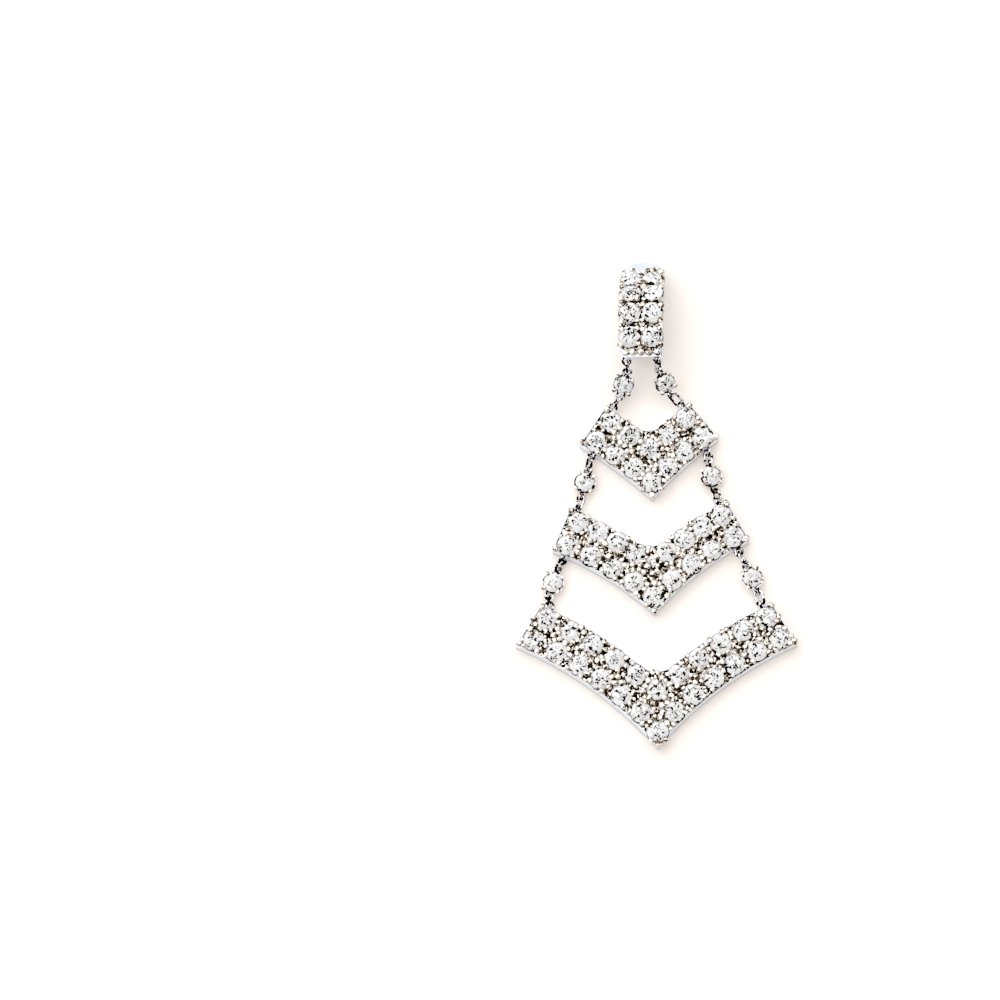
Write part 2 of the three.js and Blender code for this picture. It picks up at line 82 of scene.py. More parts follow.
# The cup is made for a stone this deep. The cut stone is a little shallower and so keeps off it.
DROP_DEPTH = 0.62
CUP = {"base_radius": 0.62, "rim": 0.07, "floor": 0.18, "play": 0.05, "foot_above_table": 0.02}
PRONG = {"count": 4, "radius": 0.13, "lean": 0.1, "root": 0.45, "over_girdle": 0.17}
GRAIN = {"radius": 0.25, "height": 0.4, "sunk": 0.25, "reach": 0.08}
WIRE = {"diameter": 0.25, "play": 0.09}
RING = {"end_play": 0.27, "side_play": 0.12}
EYE = {"height": 0.56, "seat": 0.39, "neck": 0.18}
PLATE = {"thickness": 1.3, "spread": 0.12, "corner": 0.35, "row_gap": 2.2, "end_margin": 0.16}

# %% Sizes of the three chevrons
CHEVRONS = [
    {
        "name": "chevron_top", "half_span": 6.25, "tip_slope": 45, "end_slope": 34.5, "end_cut": 2.4,
        "arm_width": 4.15, "valley_radius": 1.6,
        "upper": {"stones": 5, "middle": 1, "lift": 0.1},
        "lower": {"stones": 7, "middle": 1, "lift": 0},
        "upper_eye": 0.5, "lower_eye": 1.25, "swing": -0.38, "turn": 2.6,
    },
    {
        "name": "chevron_middle", "half_span": 8.85, "tip_slope": 45.5, "end_slope": 24, "end_cut": 1.9,
        "arm_width": 4.1, "valley_radius": 1.9,
        "upper": {"stones": 9, "middle": 0.6, "lift": 0.3},
        "lower": {"stones": 9, "middle": 1, "lift": 0.1},
        "upper_eye": 0.65, "lower_eye": 1.25, "swing": -0.2, "turn": 2.9,
    },
    {
        "name": "chevron_bottom", "half_span": 12.6, "tip_slope": 49, "end_slope": 23.5, "end_cut": 8.5,
        "arm_width": 4.25, "valley_radius": 1.9,
        "upper": {"stones": 11, "middle": 1, "lift": 0.45},
        "lower": {"stones": 13, "middle": 1, "lift": -0.25},
        "upper_eye": 0.85, "lower_eye": 1.25, "swing": 0.05, "turn": 0.4,
    },
]

# %% Sizes of the bar, its clip and the links
BAR = {
    "width": 3.8, "thickness": 1.2, "tongue_thickness": 0.8, "spread": 0.08,
    "columns": 2, "column_gap": 2, "rows": 4, "row_gap": 2.14, "end_margin": 0.83,
    "start_slope": -13.5, "end_slope": 40.5, "bend_radius": 4.4, "bend_from_first_row": 0.5,
    "tongue": 2.55, "tongue_round": 1.45, "eye_spread": 1.4, "swing": -1.02, "roll": 5,
    "tip_above_table": 0.12,
}
CLIP = {"width": 3, "thickness": 0.6, "bend_radius": 1.1, "inset": 0.9, "seat_gap": 0.15}
CONNECTORS = [
    {"name": "1_left", "level": 0, "side": -1, "bow": 0.5, "upper_roll": 12, "lower_roll": 22},
    {"name": "1_right", "level": 0, "side": 1, "bow": -0.6, "upper_roll": 35, "lower_roll": 52},
    {"name": "2_left", "level": 1, "side": -1, "bow": 0.06, "upper_roll": 30, "lower_roll": 58},
    {"name": "2_right", "level": 1, "side": 1, "bow": -0.25, "upper_roll": 65, "lower_roll": 48},
    {"name": "3_left", "level": 2, "side": -1, "bow": -0.42, "upper_roll": 32, "lower_roll": 15},
    {"name": "3_right", "level": 2, "side": 1, "bow": 0.22, "upper_roll": 24, "lower_roll": 66},
]

# %% Sizes that follow from the ones above
WIRE_RADIUS = WIRE["diameter"] / 2
EYE_RADIUS = WIRE["diameter"] + WIRE["play"]
RING_LENGTH = 2 * (EYE_RADIUS + WIRE_RADIUS) + RING["end_play"]
RING_BEND = WIRE["diameter"] + RING["side_play"]
STONE_RADIUS = STONE["diameter"] / 2
DROP_RADIUS = DROP_STONE["diameter"] / 2
SEAT_RADIUS = DROP_RADIUS + CUP["play"]
RIM_RADIUS = SEAT_RADIUS + CUP["rim"]
GIRDLE_ABOVE_EYES = DROP_DEPTH + CUP["floor"] + CUP["play"] - EYE["height"]
CUP_EYE_RADIUS = (CUP["base_radius"] + RIM_RADIUS) / 2 + EYE_RADIUS - WIRE_RADIUS + EYE["neck"]
CONNECTOR_LENGTH = 2 * (EYE["seat"] + RING_LENGTH + CUP_EYE_RADIUS)
ACROSS = Vector((1, 0, 0))
OUT = Vector((0, 0, 1))
FULL_TURN = 2 * math.pi
EIGHTH_TURN = FULL_TURN / 8
print("a link is", round(CONNECTOR_LENGTH, 2), "mm from plate to plate")

# %% [markdown]
# ## Finding each piece's place
#
# A chevron's arm is a piece of a ring: two arcs of the same centre, the arm's width apart. One rule
# gives any point of it from its slope and its height above the lower edge. The stones stand on such
# arcs too, evenly spaced from the arm's end, with one stone in the middle of the valley. Writing this
# as a rule, and not as a list of points, keeps the rows parallel to the edges.

# %% The arcs of one chevron
def chevron_arcs(chevron):
    tip = math.radians(chevron["tip_slope"])
    end = math.radians(chevron["end_slope"])
    radius = chevron["half_span"] / (math.sin(tip) - math.sin(end))
    centre = Vector((radius * math.sin(tip), -radius * math.cos(tip)))
    lean = math.tan(math.radians(chevron["end_cut"]))

    def point(slope, above):
        reach = radius + above
        return Vector((centre.x - reach * math.sin(slope), centre.y + reach * math.cos(slope)))

    def slope_at(x, above):
        return math.asin((centre.x - x) / (radius + above))

    def slope_from_end(distance, above):
        return end + (distance + above * lean) / (radius + above)

    return point, slope_at, slope_from_end


# %% The stones of one row, spaced by halving until the middle stone stands one step from both arms
HALVINGS = 40


def row_stones(chevron, row, above):
    point, slope_at, slope_from_end = chevron_arcs(chevron)
    per_arm = (row["stones"] - 1) // 2
    inset = STONE_RADIUS + PLATE["end_margin"]
    middle = point(slope_at(0, above), above) + Vector((0, row["lift"]))
    smaller = STONE_RADIUS * (1 - row["middle"])
    low = 0
    high = chevron["half_span"]
    for _ in range(HALVINGS):
        pitch = (low + high) / 2
        last = point(slope_from_end(inset + (per_arm - 1) * pitch, above), above)
        if last.x > 0 and (last - middle).length > pitch - smaller:
            low = pitch
        else:
            high = pitch
    stones = [(middle, 0, row["middle"])]
    for k in range(per_arm):
        slope = slope_from_end(inset + k * low, above)
        place = point(slope, above)
        stones.append((place, slope, 1))
        stones.append((Vector((-place.x, place.y)), -slope, 1))
    return stones


# %% [markdown]
# ## How each part lies
#
# A frame is a place with three directions: along the part, across it, and out of it. The bar is a
# strip bent over the lobe, so its frame changes along its length. Each chevron hangs one link's
# length below what carries it, taken as the mean of its two sides, and is turned a little, as real
# ones come to rest on a table.

# %% Frames as matrices
def frame_on(position, along, out):
    across = out.cross(along)
    turn = Matrix((along, across, out)).transposed().to_4x4()
    return Matrix.Translation(position) @ turn


# %% The bar's front line, by the distance from its lower end
FIRST_ROW = STONE_RADIUS + BAR["end_margin"]
LAST_ROW = FIRST_ROW + BAR["row_gap"] * (BAR["rows"] - 1)
BAR_LENGTH = LAST_ROW + BAR["tongue"]
BEND_START = FIRST_ROW + BAR["bend_from_first_row"]
BEND_LENGTH = math.radians(BAR["end_slope"] - BAR["start_slope"]) * BAR["bend_radius"]


def bar_front(distance):
    start = math.radians(BAR["start_slope"])
    radius = BAR["bend_radius"]
    straight = min(distance, BEND_START)
    bent = min(max(distance - BEND_START, 0), BEND_LENGTH)
    rest = max(distance - BEND_START - BEND_LENGTH, 0)
    slope = start + bent / radius
    y = straight * math.cos(start) + radius * (math.sin(slope) - math.sin(start)) + rest * math.cos(slope)
    z = -straight * math.sin(start) + radius * (math.cos(slope) - math.cos(start)) - rest * math.sin(slope)
    return y, z, slope


def bar_thickness(distance):
    share = min(max((distance - LAST_ROW) / BAR["tongue"], 0), 1)
    return BAR["thickness"] + (BAR["tongue_thickness"] - BAR["thickness"]) * share


_, TONGUE_Z, TONGUE_SLOPE = bar_front(BAR_LENGTH)
BAR_LIFT = BAR["tip_above_table"] - TONGUE_Z + BAR["tongue_thickness"] * math.cos(TONGUE_SLOPE)


def bar_point(distance, x, depth):
    y, z, slope = bar_front(distance)
    return Vector((x, y - depth * math.sin(slope), z - depth * math.cos(slope) + BAR_LIFT))


# %% Where the bar, the chevrons and the links lie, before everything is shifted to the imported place
BAR_ROLL = math.radians(BAR["roll"])
bar_frame = Matrix.Translation((BAR["swing"], 0, CLIP["width"] / 2 * math.sin(BAR_ROLL)))
bar_frame = bar_frame @ Matrix.Rotation(-BAR_ROLL, 4, "Y")


def bar_edge(side):
    return bar_frame @ bar_point(0, side * BAR["eye_spread"], BAR["thickness"] / 2)


def plate_edge(chevron, side, upper):
    point, _, slope_from_end = chevron_arcs(chevron)
    above = chevron["arm_width"] if upper else 0
    distance = chevron["upper_eye"] if upper else chevron["lower_eye"]
    place = point(slope_from_end(distance, above), above)
    return Vector((side * place.x, place.y, EYE["height"]))


def lower_edge_of(chevron, place):
    return lambda side: place @ plate_edge(chevron, side, False)


carriers = [bar_edge]
chevron_frames = []
for chevron in CHEVRONS:
    turned = Matrix.Rotation(math.radians(chevron["turn"]), 4, "Z")
    height = 0
    for side in (-1, 1):
        start = carriers[-1](side)
        end = turned @ plate_edge(chevron, side, True)
        sideways = math.hypot(end.x + chevron["swing"] - start.x, end.z - start.z)
        height += (start.y - end.y - math.sqrt(CONNECTOR_LENGTH ** 2 - sideways ** 2)) / 2
    place = Matrix.Translation((chevron["swing"], height, 0)) @ turned
    chevron_frames.append(place)
    carriers.append(lower_edge_of(chevron, place))


# %% The parts of one link: a ring, a cup with its stone, a ring
def connector_parts(connector):
    start = carriers[connector["level"]](connector["side"])
    end = chevron_frames[connector["level"]] @ plate_edge(
        CHEVRONS[connector["level"]], connector["side"], True)
    along = (end - start).normalized()
    centre = (start + end) / 2 + ACROSS * connector["bow"]
    links = []
    for place, fixed, step, roll in (
        ("upper", start, -1, connector["upper_roll"]),
        ("lower", end, 1, connector["lower_roll"]),
    ):
        cup_eye = centre + along * step * CUP_EYE_RADIUS
        line = (cup_eye - fixed).normalized()
        plate_eye = fixed + line * EYE["seat"]
        sideways = line.cross(OUT).normalized()
        up = sideways.cross(line)
        across = up * math.cos(math.radians(roll)) + sideways * math.sin(math.radians(roll))
        links.append({
            "place": place, "along": line, "across": across, "cup_eye": cup_eye, "plate_eye": plate_eye,
        })
    up = (OUT - along * OUT.dot(along)).normalized()
    return {**connector, "frame": frame_on(centre, along, up), "links": links}


connectors = [connector_parts(connector) for connector in CONNECTORS]

# %% [markdown]
# ## The outline of a chevron
#
# The plate's outline runs from the tip along the lower edge, round the end of the arm, and back along
# the upper edge into the rounded valley. The other half is its mirror image. A second number, grow,
# moves the whole line outwards or inwards, so the same rule draws the foot, the face and the rim.

# %% Half of the outline, then all of it
ARM_STEPS = 22
CORNER_STEPS = 4
VALLEY_STEPS = 9


def rounded_corner(start, corner, end, steps):
    points = []
    for i in range(steps + 1):
        t = i / steps
        points.append(start * (1 - t) ** 2 + corner * 2 * t * (1 - t) + end * t ** 2)
    return points


def half_outline(chevron, grow):
    point, slope_at, slope_from_end = chevron_arcs(chevron)
    top = chevron["arm_width"] + grow
    low = -grow
    corner = PLATE["corner"]
    low_tip = slope_at(0, low)
    low_end = slope_from_end(corner - grow, low)
    outline = []
    for i in range(ARM_STEPS):
        outline.append(point(low_tip + (low_end - low_tip) * i / ARM_STEPS, low))
    outline += rounded_corner(
        point(low_end, low),
        point(slope_from_end(-grow, low), low),
        point(slope_from_end(-grow, low + corner), low + corner), CORNER_STEPS)
    outline += rounded_corner(
        point(slope_from_end(-grow, top - corner), top - corner),
        point(slope_from_end(-grow, top), top),
        point(slope_from_end(corner - grow, top), top), CORNER_STEPS)
    valley_radius = chevron["valley_radius"] - grow
    top_start = slope_from_end(corner - grow, top)
    top_stop = slope_at(valley_radius * math.sin(slope_at(0, top)), top)
    for i in range(1, ARM_STEPS):
        outline.append(point(top_start + (top_stop - top_start) * i / ARM_STEPS, top))
    meet = point(top_stop, top)
    valley_y = meet.y + valley_radius * math.cos(top_stop)
    for i in range(VALLEY_STEPS + 1):
        angle = top_stop * (1 - i / VALLEY_STEPS)
        x = meet.x * math.sin(angle) / math.sin(top_stop)
        outline.append(Vector((x, valley_y - valley_radius * math.cos(angle))))
    return outline


def full_outline(chevron, grow):
    right = half_outline(chevron, grow)
    left = [Vector((-point.x, point.y)) for point in reversed(right[1:-1])]
    return right + left


# %% [markdown]
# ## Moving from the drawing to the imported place
#
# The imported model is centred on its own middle, which the drawing above is not. The bottom chevron's
# foot is the lowest and the widest thing in both, so the difference between the two gives the shift.
# One node that was not used to find the shift is then measured, as a test of the port.

# %% The shift, measured on the bottom chevron and tested on a ring
foot = [chevron_frames[2] @ point.to_3d() for point in full_outline(CHEVRONS[2], PLATE["spread"])]
packed_low, packed_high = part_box("chevron_bottom")
shift = Vector((
    packed_low.x / METRES - min(point.x for point in foot),
    packed_low.y / METRES - min(point.y for point in foot),
    packed_low.z / METRES,
))
test_link = connectors[0]["links"][0]
test_middle = (test_link["cup_eye"] + test_link["plate_eye"]) / 2 + shift
packed_low, packed_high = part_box("ring_1_left_upper")
packed_middle = (packed_low + packed_high) / 2 / METRES
print("shift in mm:", shift, "ring is off by", round((test_middle - packed_middle).length, 3), "mm")

# %% [markdown]
# ## Closed bodies from rings of points
#
# Most parts here are a loft: rings of the same number of points, joined one to the next and closed at
# both ends. Blender has no loft tool, so a short function writes the faces. It asks for the normals
# to be turned outwards, because a mirrored outline would otherwise leave them pointing in.

# %% A mesh object from rings of points, and smooth shading that keeps sharp edges
SHARP_ANGLE = math.radians(32)


def in_scene(name, data):
    made = bpy.data.objects.new(name, data)
    bpy.context.scene.collection.objects.link(made)
    return made


def new_piece(name, vertices, faces, materials, place):
    mesh = bpy.data.meshes.new(name)
    mesh.from_pydata([vertex.to_3d() for vertex in vertices], [], faces)
    for material in materials:
        mesh.materials.append(material)
    to_place = Matrix.Scale(METRES, 4) @ Matrix.Translation(shift) @ place
    mesh.transform(to_place)
    return in_scene(name, mesh)


def loft_faces(ring_count, ring_size):
    faces = []
    for ring in range(ring_count - 1):
        for i in range(ring_size):
            j = (i + 1) % ring_size
            low = ring * ring_size
            high = low + ring_size
            faces.append((low + i, low + j, high + j, high + i))
    faces.append(tuple(reversed(range(ring_size))))
    last = (ring_count - 1) * ring_size
    faces.append(tuple(range(last, last + ring_size)))
    return faces


def turn_outwards(piece):
    work = bmesh.new()
    work.from_mesh(piece.data)
    bmesh.ops.recalc_face_normals(work, faces=work.faces)
    work.to_mesh(piece.data)
    work.free()
    piece.data.shade_smooth()
    piece.data.set_sharp_from_angle(angle=SHARP_ANGLE)


# %% [markdown]
# ## White metal
#
# The metal is polished and plated, so it is almost a mirror. What the eye reads as metal is the
# pattern of light and dark that it reflects. A noise on the object's own coordinates moves each point
# between a bright and a darker colour, both painted reflections of the room, breaks up the roughness
# and adds a slight relief.
#
# One recipe serves four finishes. The outer walls are pale lilac, a painted reflection of the cool
# room, and change softly. The beads carry a painted reflection of the tan shade around them, so they
# are warmer, with hard-edged black spots of painted dark reflection. The collars round the stones are
# mostly black and tan, painted shade in the gaps round the stones. The wire is pale with black flecks
# of painted dark reflection. Grain and relief are in millimetres, and spots are the two noise values
# where the painted dark colour ends and the bright one begins.

# %% Short helpers for materials
def add_node(tree, kind, **settings):
    node = tree.nodes.new(kind)
    for name, value in settings.items():
        setattr(node, name, value)
    return node


def new_material(name):
    material = bpy.data.materials.new(name)
    material.use_nodes = True
    shader = material.node_tree.nodes["Principled BSDF"]
    return material, material.node_tree, shader


def object_noise(tree, scale, detail):
    where = add_node(tree, "ShaderNodeTexCoord")
    noise = add_node(tree, "ShaderNodeTexNoise")
    noise.inputs["Scale"].default_value = scale
    noise.inputs["Detail"].default_value = detail
    tree.links.new(where.outputs["Object"], noise.inputs["Vector"])
    return noise.outputs["Fac"]


def ramp_node(tree, stops):
    ramp = add_node(tree, "ShaderNodeValToRGB")
    marks = ramp.color_ramp.elements
    marks[0].position = stops[0][0]
    marks[0].color = (*stops[0][1], 1)
    marks[1].position = stops[-1][0]
    marks[1].color = (*stops[-1][1], 1)
    for position, colour in stops[1:-1]:
        mark = marks.new(position)
        mark.color = (*colour, 1)
    return ramp


# %% One recipe, four finishes
METAL_DETAIL = 3
# Both colours of each finish are painted reflections: the walls' lilac and the beads' warmth, and the
# near-black spots of painted dark reflection and shade.
FINISHES = {
    "wall_metal": {
        "bright": (0.765, 0.85, 0.965), "painted_dark": (0.705, 0.795, 0.925), "spots": (0.35, 0.6),
        "grain": 1.1, "roughness": (0.12, 0.22), "relief": 0.003,
    },
    "bead_metal": {
        "bright": (0.93, 0.86, 0.785), "painted_dark": (0.12, 0.095, 0.07), "spots": (0.4, 0.48),
        "grain": 0.4, "roughness": (0.04, 0.12), "relief": 0.06,
    },
    "seat_metal": {
        "bright": (0.62, 0.55, 0.47), "painted_dark": (0.004, 0.003, 0.002), "spots": (0.5, 0.55),
        "grain": 0.4, "roughness": (0.1, 0.3), "relief": 0.05,
    },
    "ring_metal": {
        "bright": (0.92, 0.9, 0.93), "painted_dark": (0.003, 0.003, 0.003), "spots": (0.48, 0.52),
        "grain": 0.35, "roughness": (0.12, 0.2), "relief": 0.05,
    },
}


def white_metal(name):
    finish = FINISHES[name]
    material, tree, shader = new_material(name)
    noise = object_noise(tree, 1 / (finish["grain"] * METRES), METAL_DETAIL)
    # The noise mixes a painted dark reflection with the bright colour.
    painted_dark_end, bright_start = finish["spots"]
    tint = ramp_node(tree, [(painted_dark_end, finish["painted_dark"]), (bright_start, finish["bright"])])
    tree.links.new(noise, tint.inputs["Fac"])
    tree.links.new(tint.outputs["Color"], shader.inputs["Base Color"])
    polish = add_node(tree, "ShaderNodeMapRange")
    polish.inputs["To Min"].default_value = finish["roughness"][0]
    polish.inputs["To Max"].default_value = finish["roughness"][1]
    tree.links.new(noise, polish.inputs["Value"])
    tree.links.new(polish.outputs["Result"], shader.inputs["Roughness"])
    marks = add_node(tree, "ShaderNodeBump")
    marks.inputs["Distance"].default_value = finish["relief"] * METRES
    tree.links.new(noise, marks.inputs["Height"])
    tree.links.new(marks.outputs["Normal"], shader.inputs["Normal"])
    shader.inputs["Metallic"].default_value = 1
    return material


wall_metal = white_metal("wall_metal")
bead_metal = white_metal("bead_metal")
seat_metal = white_metal("seat_metal")
ring_metal = white_metal("ring_metal")
print("metal finishes:", [m.name for m in (wall_metal, bead_metal, seat_metal, ring_metal)])

# %% [markdown]
# ## The sunk field
#
# Between the beads lies the floor of the sunk field. Its finish is a mosaic of black, tan and a few
# cream patches: painted shade in the gaps and painted reflections of the room. A Voronoi texture makes
# such patches, and the same texture serves the stones below.

# %% A mosaic of small patches, each with its own number
def mosaic(tree, patch):
    where = add_node(tree, "ShaderNodeTexCoord")
    cells = add_node(tree, "ShaderNodeTexVoronoi", feature="F1")
    cells.inputs["Scale"].default_value = 1 / (patch * METRES)
    tree.links.new(where.outputs["Object"], cells.inputs["Vector"])
    number = add_node(tree, "ShaderNodeSeparateColor")
    tree.links.new(cells.outputs["Color"], number.inputs["Color"])
    return number.outputs["Red"]


# %% The floor of the field, with painted shade and reflections
# Mostly black, painted shade in the gaps between stones, with tan and cream painted reflections.
RECESS_SHADE_TONES = [
    (0.0, (0.002, 0.002, 0.001)),
    (0.5, (0.004, 0.003, 0.002)),
    (0.56, (0.14, 0.105, 0.075)),
    (0.68, (0.5, 0.43, 0.35)),
    (0.78, (0.84, 0.78, 0.71)),
    (1.0, (0.9, 0.86, 0.81)),
]
RECESS_PATCH = 0.2
RECESS_ROUGHNESS = 0.35


def recess_shade_finish(name):
    material, tree, shader = new_material(name)
    ramp = ramp_node(tree, RECESS_SHADE_TONES)
    tree.links.new(mosaic(tree, RECESS_PATCH), ramp.inputs["Fac"])
    tree.links.new(ramp.outputs["Color"], shader.inputs["Base Color"])
    shader.inputs["Metallic"].default_value = 1
    shader.inputs["Roughness"].default_value = RECESS_ROUGHNESS
    return material


recess_shade_metal = recess_shade_finish("recess_shade_metal")

# %% [markdown]
# ## Clear stones
#
# A small cut stone seen from above is not see-through. Each facet sends back patches of the room: most
# are white, some grey or tan, and a few black. So the stone is an opaque, glossy solid whose facets
# each carry a tone, a painted reflection stored on the faces. Light that bounces about inside a stone
# breaks the facets up further, so a coarse and a fine mosaic of painted light and dark are added to the
# tone. A ramp turns the sum into a colour.
# The facets mirror the room too. A low index keeps that mirror weak, because a strong one would lay the
# white ceiling over the black patches.

# %% The stones' finish reads the tone of each facet
# The tones are painted reflections: black, grey, tan and white patches of the room.
TONES = [
    (0.0, (0.001, 0.001, 0.001)),
    (0.29, (0.003, 0.002, 0.002)),
    (0.32, (0.3, 0.25, 0.2)),
    (0.37, (0.63, 0.58, 0.52)),
    (0.47, (0.77, 0.745, 0.72)),
    (0.75, (0.8, 0.785, 0.775)),
    (1.0, (0.88, 0.88, 0.88)),
]
STONE_ROUGHNESS = 0.03
STONE_IOR = 1.28
MOSAICS = [{"patch": 0.3, "spread": 1.0}, {"patch": 0.14, "spread": 0.7}]


def clear_stone(name):
    material, tree, shader = new_material(name)
    tone = add_node(tree, "ShaderNodeAttribute", attribute_name="tone")
    total = tone.outputs["Fac"]
    for size in MOSAICS:
        swing = add_node(tree, "ShaderNodeMapRange")
        swing.inputs["To Min"].default_value = -size["spread"] / 2
        swing.inputs["To Max"].default_value = size["spread"] / 2
        tree.links.new(mosaic(tree, size["patch"]), swing.inputs["Value"])
        both = add_node(tree, "ShaderNodeMath", operation="ADD")
        tree.links.new(total, both.inputs[0])
        tree.links.new(swing.outputs["Result"], both.inputs[1])
        total = both.outputs["Value"]
    ramp = ramp_node(tree, TONES)
    tree.links.new(total, ramp.inputs["Fac"])
    tree.links.new(ramp.outputs["Color"], shader.inputs["Base Color"])
    shader.inputs["Roughness"].default_value = STONE_ROUGHNESS
    shader.inputs["IOR"].default_value = STONE_IOR
    return material


stone_finish = clear_stone("clear_stone")

# %% [markdown]
# ## The plates
#
# A chevron is cut from plate. Its wall leans in from the foot to the face, its edges are polished
# round, and inside a narrow rim the face is sunk, so that the stones stand in a shallow field. The
# gaps between them fall dark, in real shade and in the painted shade of the field's floor. The profile
# below is that edge, from the foot to the floor of the field: how far out the outline stands, and how
# high.

# %% One plate from its outline and its edge profile
FIELD_DEPTH = 0.3
PLATE_EDGE = [
    (0.05, 0.0), (0.1, 0.03), (0.12, 0.09), (0.02, 1.16), (0.0, 1.24), (-0.02, 1.29), (-0.045, 1.3),
    (-0.07, 1.29), (-0.09, 1.22), (-0.1, PLATE["thickness"] - FIELD_DEPTH),
]


def plate_piece(chevron, place):
    rings = []
    for grow, height in PLATE_EDGE:
        rings.append([point.to_3d() + OUT * height for point in full_outline(chevron, grow)])
    faces = loft_faces(len(rings), len(rings[0]))
    vertices = [point for ring in rings for point in ring]
    piece = new_piece(chevron["name"] + "_plate", vertices, faces, [wall_metal, recess_shade_metal], place)
    # The last face is the floor of the field, whose finish carries painted shade.
    piece.data.polygons[len(faces) - 1].material_index = 1
    turn_outwards(piece)
    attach(piece, BODY)
    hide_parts(chevron["name"])
    return piece


plates = [plate_piece(chevron, place) for chevron, place in zip(CHEVRONS, chevron_frames)]
print("plates:", {piece.name: len(piece.data.polygons) for piece in plates})

# %% [markdown]
# ## The bar and its clip
#
# The bar has an edge and a sunk field like the plates', drawn along a bent line. Its section is a closed
# loop of points, so many sections down the line make a loft. The field stops before the plain tongue,
# whose end is round.

# %% Sections of the bar
FIELD_SIDE = 0.2
FIELD_END = 0.25
FIELD_RAMP = 0.12
FIELD_STOP = LAST_ROW + STONE_RADIUS + FIELD_END
BAR_EDGE = 0.1
# The polished rim's inner edge lies this many edge roundings from the wall.
RIM_IN_EDGES = 1.4


def field_depth(distance):
    from_start = (distance - FIELD_END) / FIELD_RAMP
    to_stop = (FIELD_STOP - distance) / FIELD_RAMP
    return FIELD_DEPTH * min(max(min(from_start, to_stop), 0), 1)


def bar_section(distance, width_share):
    depth = bar_thickness(distance)
    front = BAR["width"] / 2 * width_share
    back = front + BAR["spread"]
    soft = min(BAR_EDGE, front / 2)
    rounded = soft / 3
    half = [
        (front - FIELD_SIDE * width_share, field_depth(distance)),
        (front - soft * RIM_IN_EDGES, 0), (front - soft, 0), (front - rounded, rounded), (front, soft),
        (back, depth - soft), (back - rounded, depth - rounded), (back - soft, depth),
    ]
    right = [bar_point(distance, x, deep) for x, deep in half]
    left = [bar_point(distance, -x, deep) for x, deep in reversed(half)]
    return right + left


# %% The bar
TONGUE_STEPS = 9
TONGUE_TURN = math.radians(86)
BAR_STEP = 0.3
# A section this close to the end keeps the shading of the end apart from that of the face.
FIRST_STEP = 0.04
# Distances that agree to this many decimals make one section.
DECIMALS = 4


def bar_distances():
    stop = BAR_LENGTH - BAR["tongue_round"]
    breaks = [0, FIRST_STEP, FIELD_END, FIELD_END + FIELD_RAMP, FIELD_STOP - FIELD_RAMP, FIELD_STOP]
    step_count = int(stop / BAR_STEP)
    even = [stop * i / step_count for i in range(1, step_count + 1)]
    return sorted({round(distance, DECIMALS) for distance in breaks + even if distance <= stop})


def bar_piece():
    distances = bar_distances()
    sections = [bar_section(distance, 1) for distance in distances]
    for i in range(1, TONGUE_STEPS + 1):
        angle = TONGUE_TURN * i / TONGUE_STEPS
        distance = BAR_LENGTH - BAR["tongue_round"] * (1 - math.sin(angle))
        sections.append(bar_section(distance, math.cos(angle)))
    size = len(sections[0])
    faces = loft_faces(len(sections), size)
    vertices = [point for section in sections for point in section]
    piece = new_piece("top_bar_strip", vertices, faces, [wall_metal, recess_shade_metal], bar_frame)
    # The last face of each band joins the two innermost points: the floor of the field, with painted shade.
    for face in piece.data.polygons:
        section = face.index // size
        if face.index % size == size - 1 and section < len(distances) - 1:
            if FIELD_END <= distances[section] < FIELD_STOP:
                face.material_index = 1
    turn_outwards(piece)
    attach(piece, BODY)
    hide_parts("top_bar")
    return piece


bar_strip = bar_piece()
print("bar strip:", len(bar_strip.data.polygons), "faces")

# %% The clip: a plain bent strip behind the bar, from the same line as its solid
CLIP_BEND_STEPS = 12
CLIP_EDGE = 0.06


def clip_line():
    tongue_back = bar_point(BAR_LENGTH, 0, BAR["tongue_thickness"])
    tongue_gap = CLIP["seat_gap"] / math.sin(TONGUE_SLOPE)
    tongue_tan = math.tan(TONGUE_SLOPE)
    leg_back = bar_point(CLIP["inset"], 0, BAR["thickness"])
    leg_tan = -math.tan(math.radians(BAR["start_slope"]))
    near = CLIP["inset"]
    far = near + CLIP["thickness"]
    corner = near + CLIP["bend_radius"]

    def tail_at(z):
        return tongue_back.y - (z - tongue_back.z) / tongue_tan - tongue_gap

    def leg_top(y):
        return leg_back.z + (y - leg_back.y) * leg_tan - CLIP["seat_gap"]

    outer = [Vector((near, leg_top(near)))]
    inner = [Vector((far, leg_top(far)))]
    for i in range(CLIP_BEND_STEPS + 1):
        angle = math.pi + math.pi / 2 * i / CLIP_BEND_STEPS
        direction = Vector((math.cos(angle), math.sin(angle)))
        middle = Vector((corner, CLIP["bend_radius"]))
        outer.append(middle + direction * CLIP["bend_radius"])
        inner.append(middle + direction * (CLIP["bend_radius"] - CLIP["thickness"]))
    outer.append(Vector((tail_at(0), 0)))
    inner.append(Vector((tail_at(CLIP["thickness"]), CLIP["thickness"])))
    return outer, inner


def clip_piece():
    outer, inner = clip_line()
    rings = []
    side = CLIP["width"] / 2
    for low, high in zip(outer, inner):
        through = (high - low).normalized()
        section = []
        for x, point in (
            (side - CLIP_EDGE, low), (side, low + through * CLIP_EDGE),
            (side, high - through * CLIP_EDGE), (side - CLIP_EDGE, high),
            (CLIP_EDGE - side, high), (-side, high - through * CLIP_EDGE),
            (-side, low + through * CLIP_EDGE), (CLIP_EDGE - side, low),
        ):
            section.append(Vector((x, point.x, point.y)))
        rings.append(section)
    vertices = [point for ring in rings for point in ring]
    faces = loft_faces(len(rings), len(rings[0]))
    piece = new_piece("ear_clip_strip", vertices, faces, [wall_metal], bar_frame)
    turn_outwards(piece)
    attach(piece, BODY)
    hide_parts("ear_clip")
    return piece


clip_strip = clip_piece()
print("clip strip:", len(clip_strip.data.polygons), "faces")
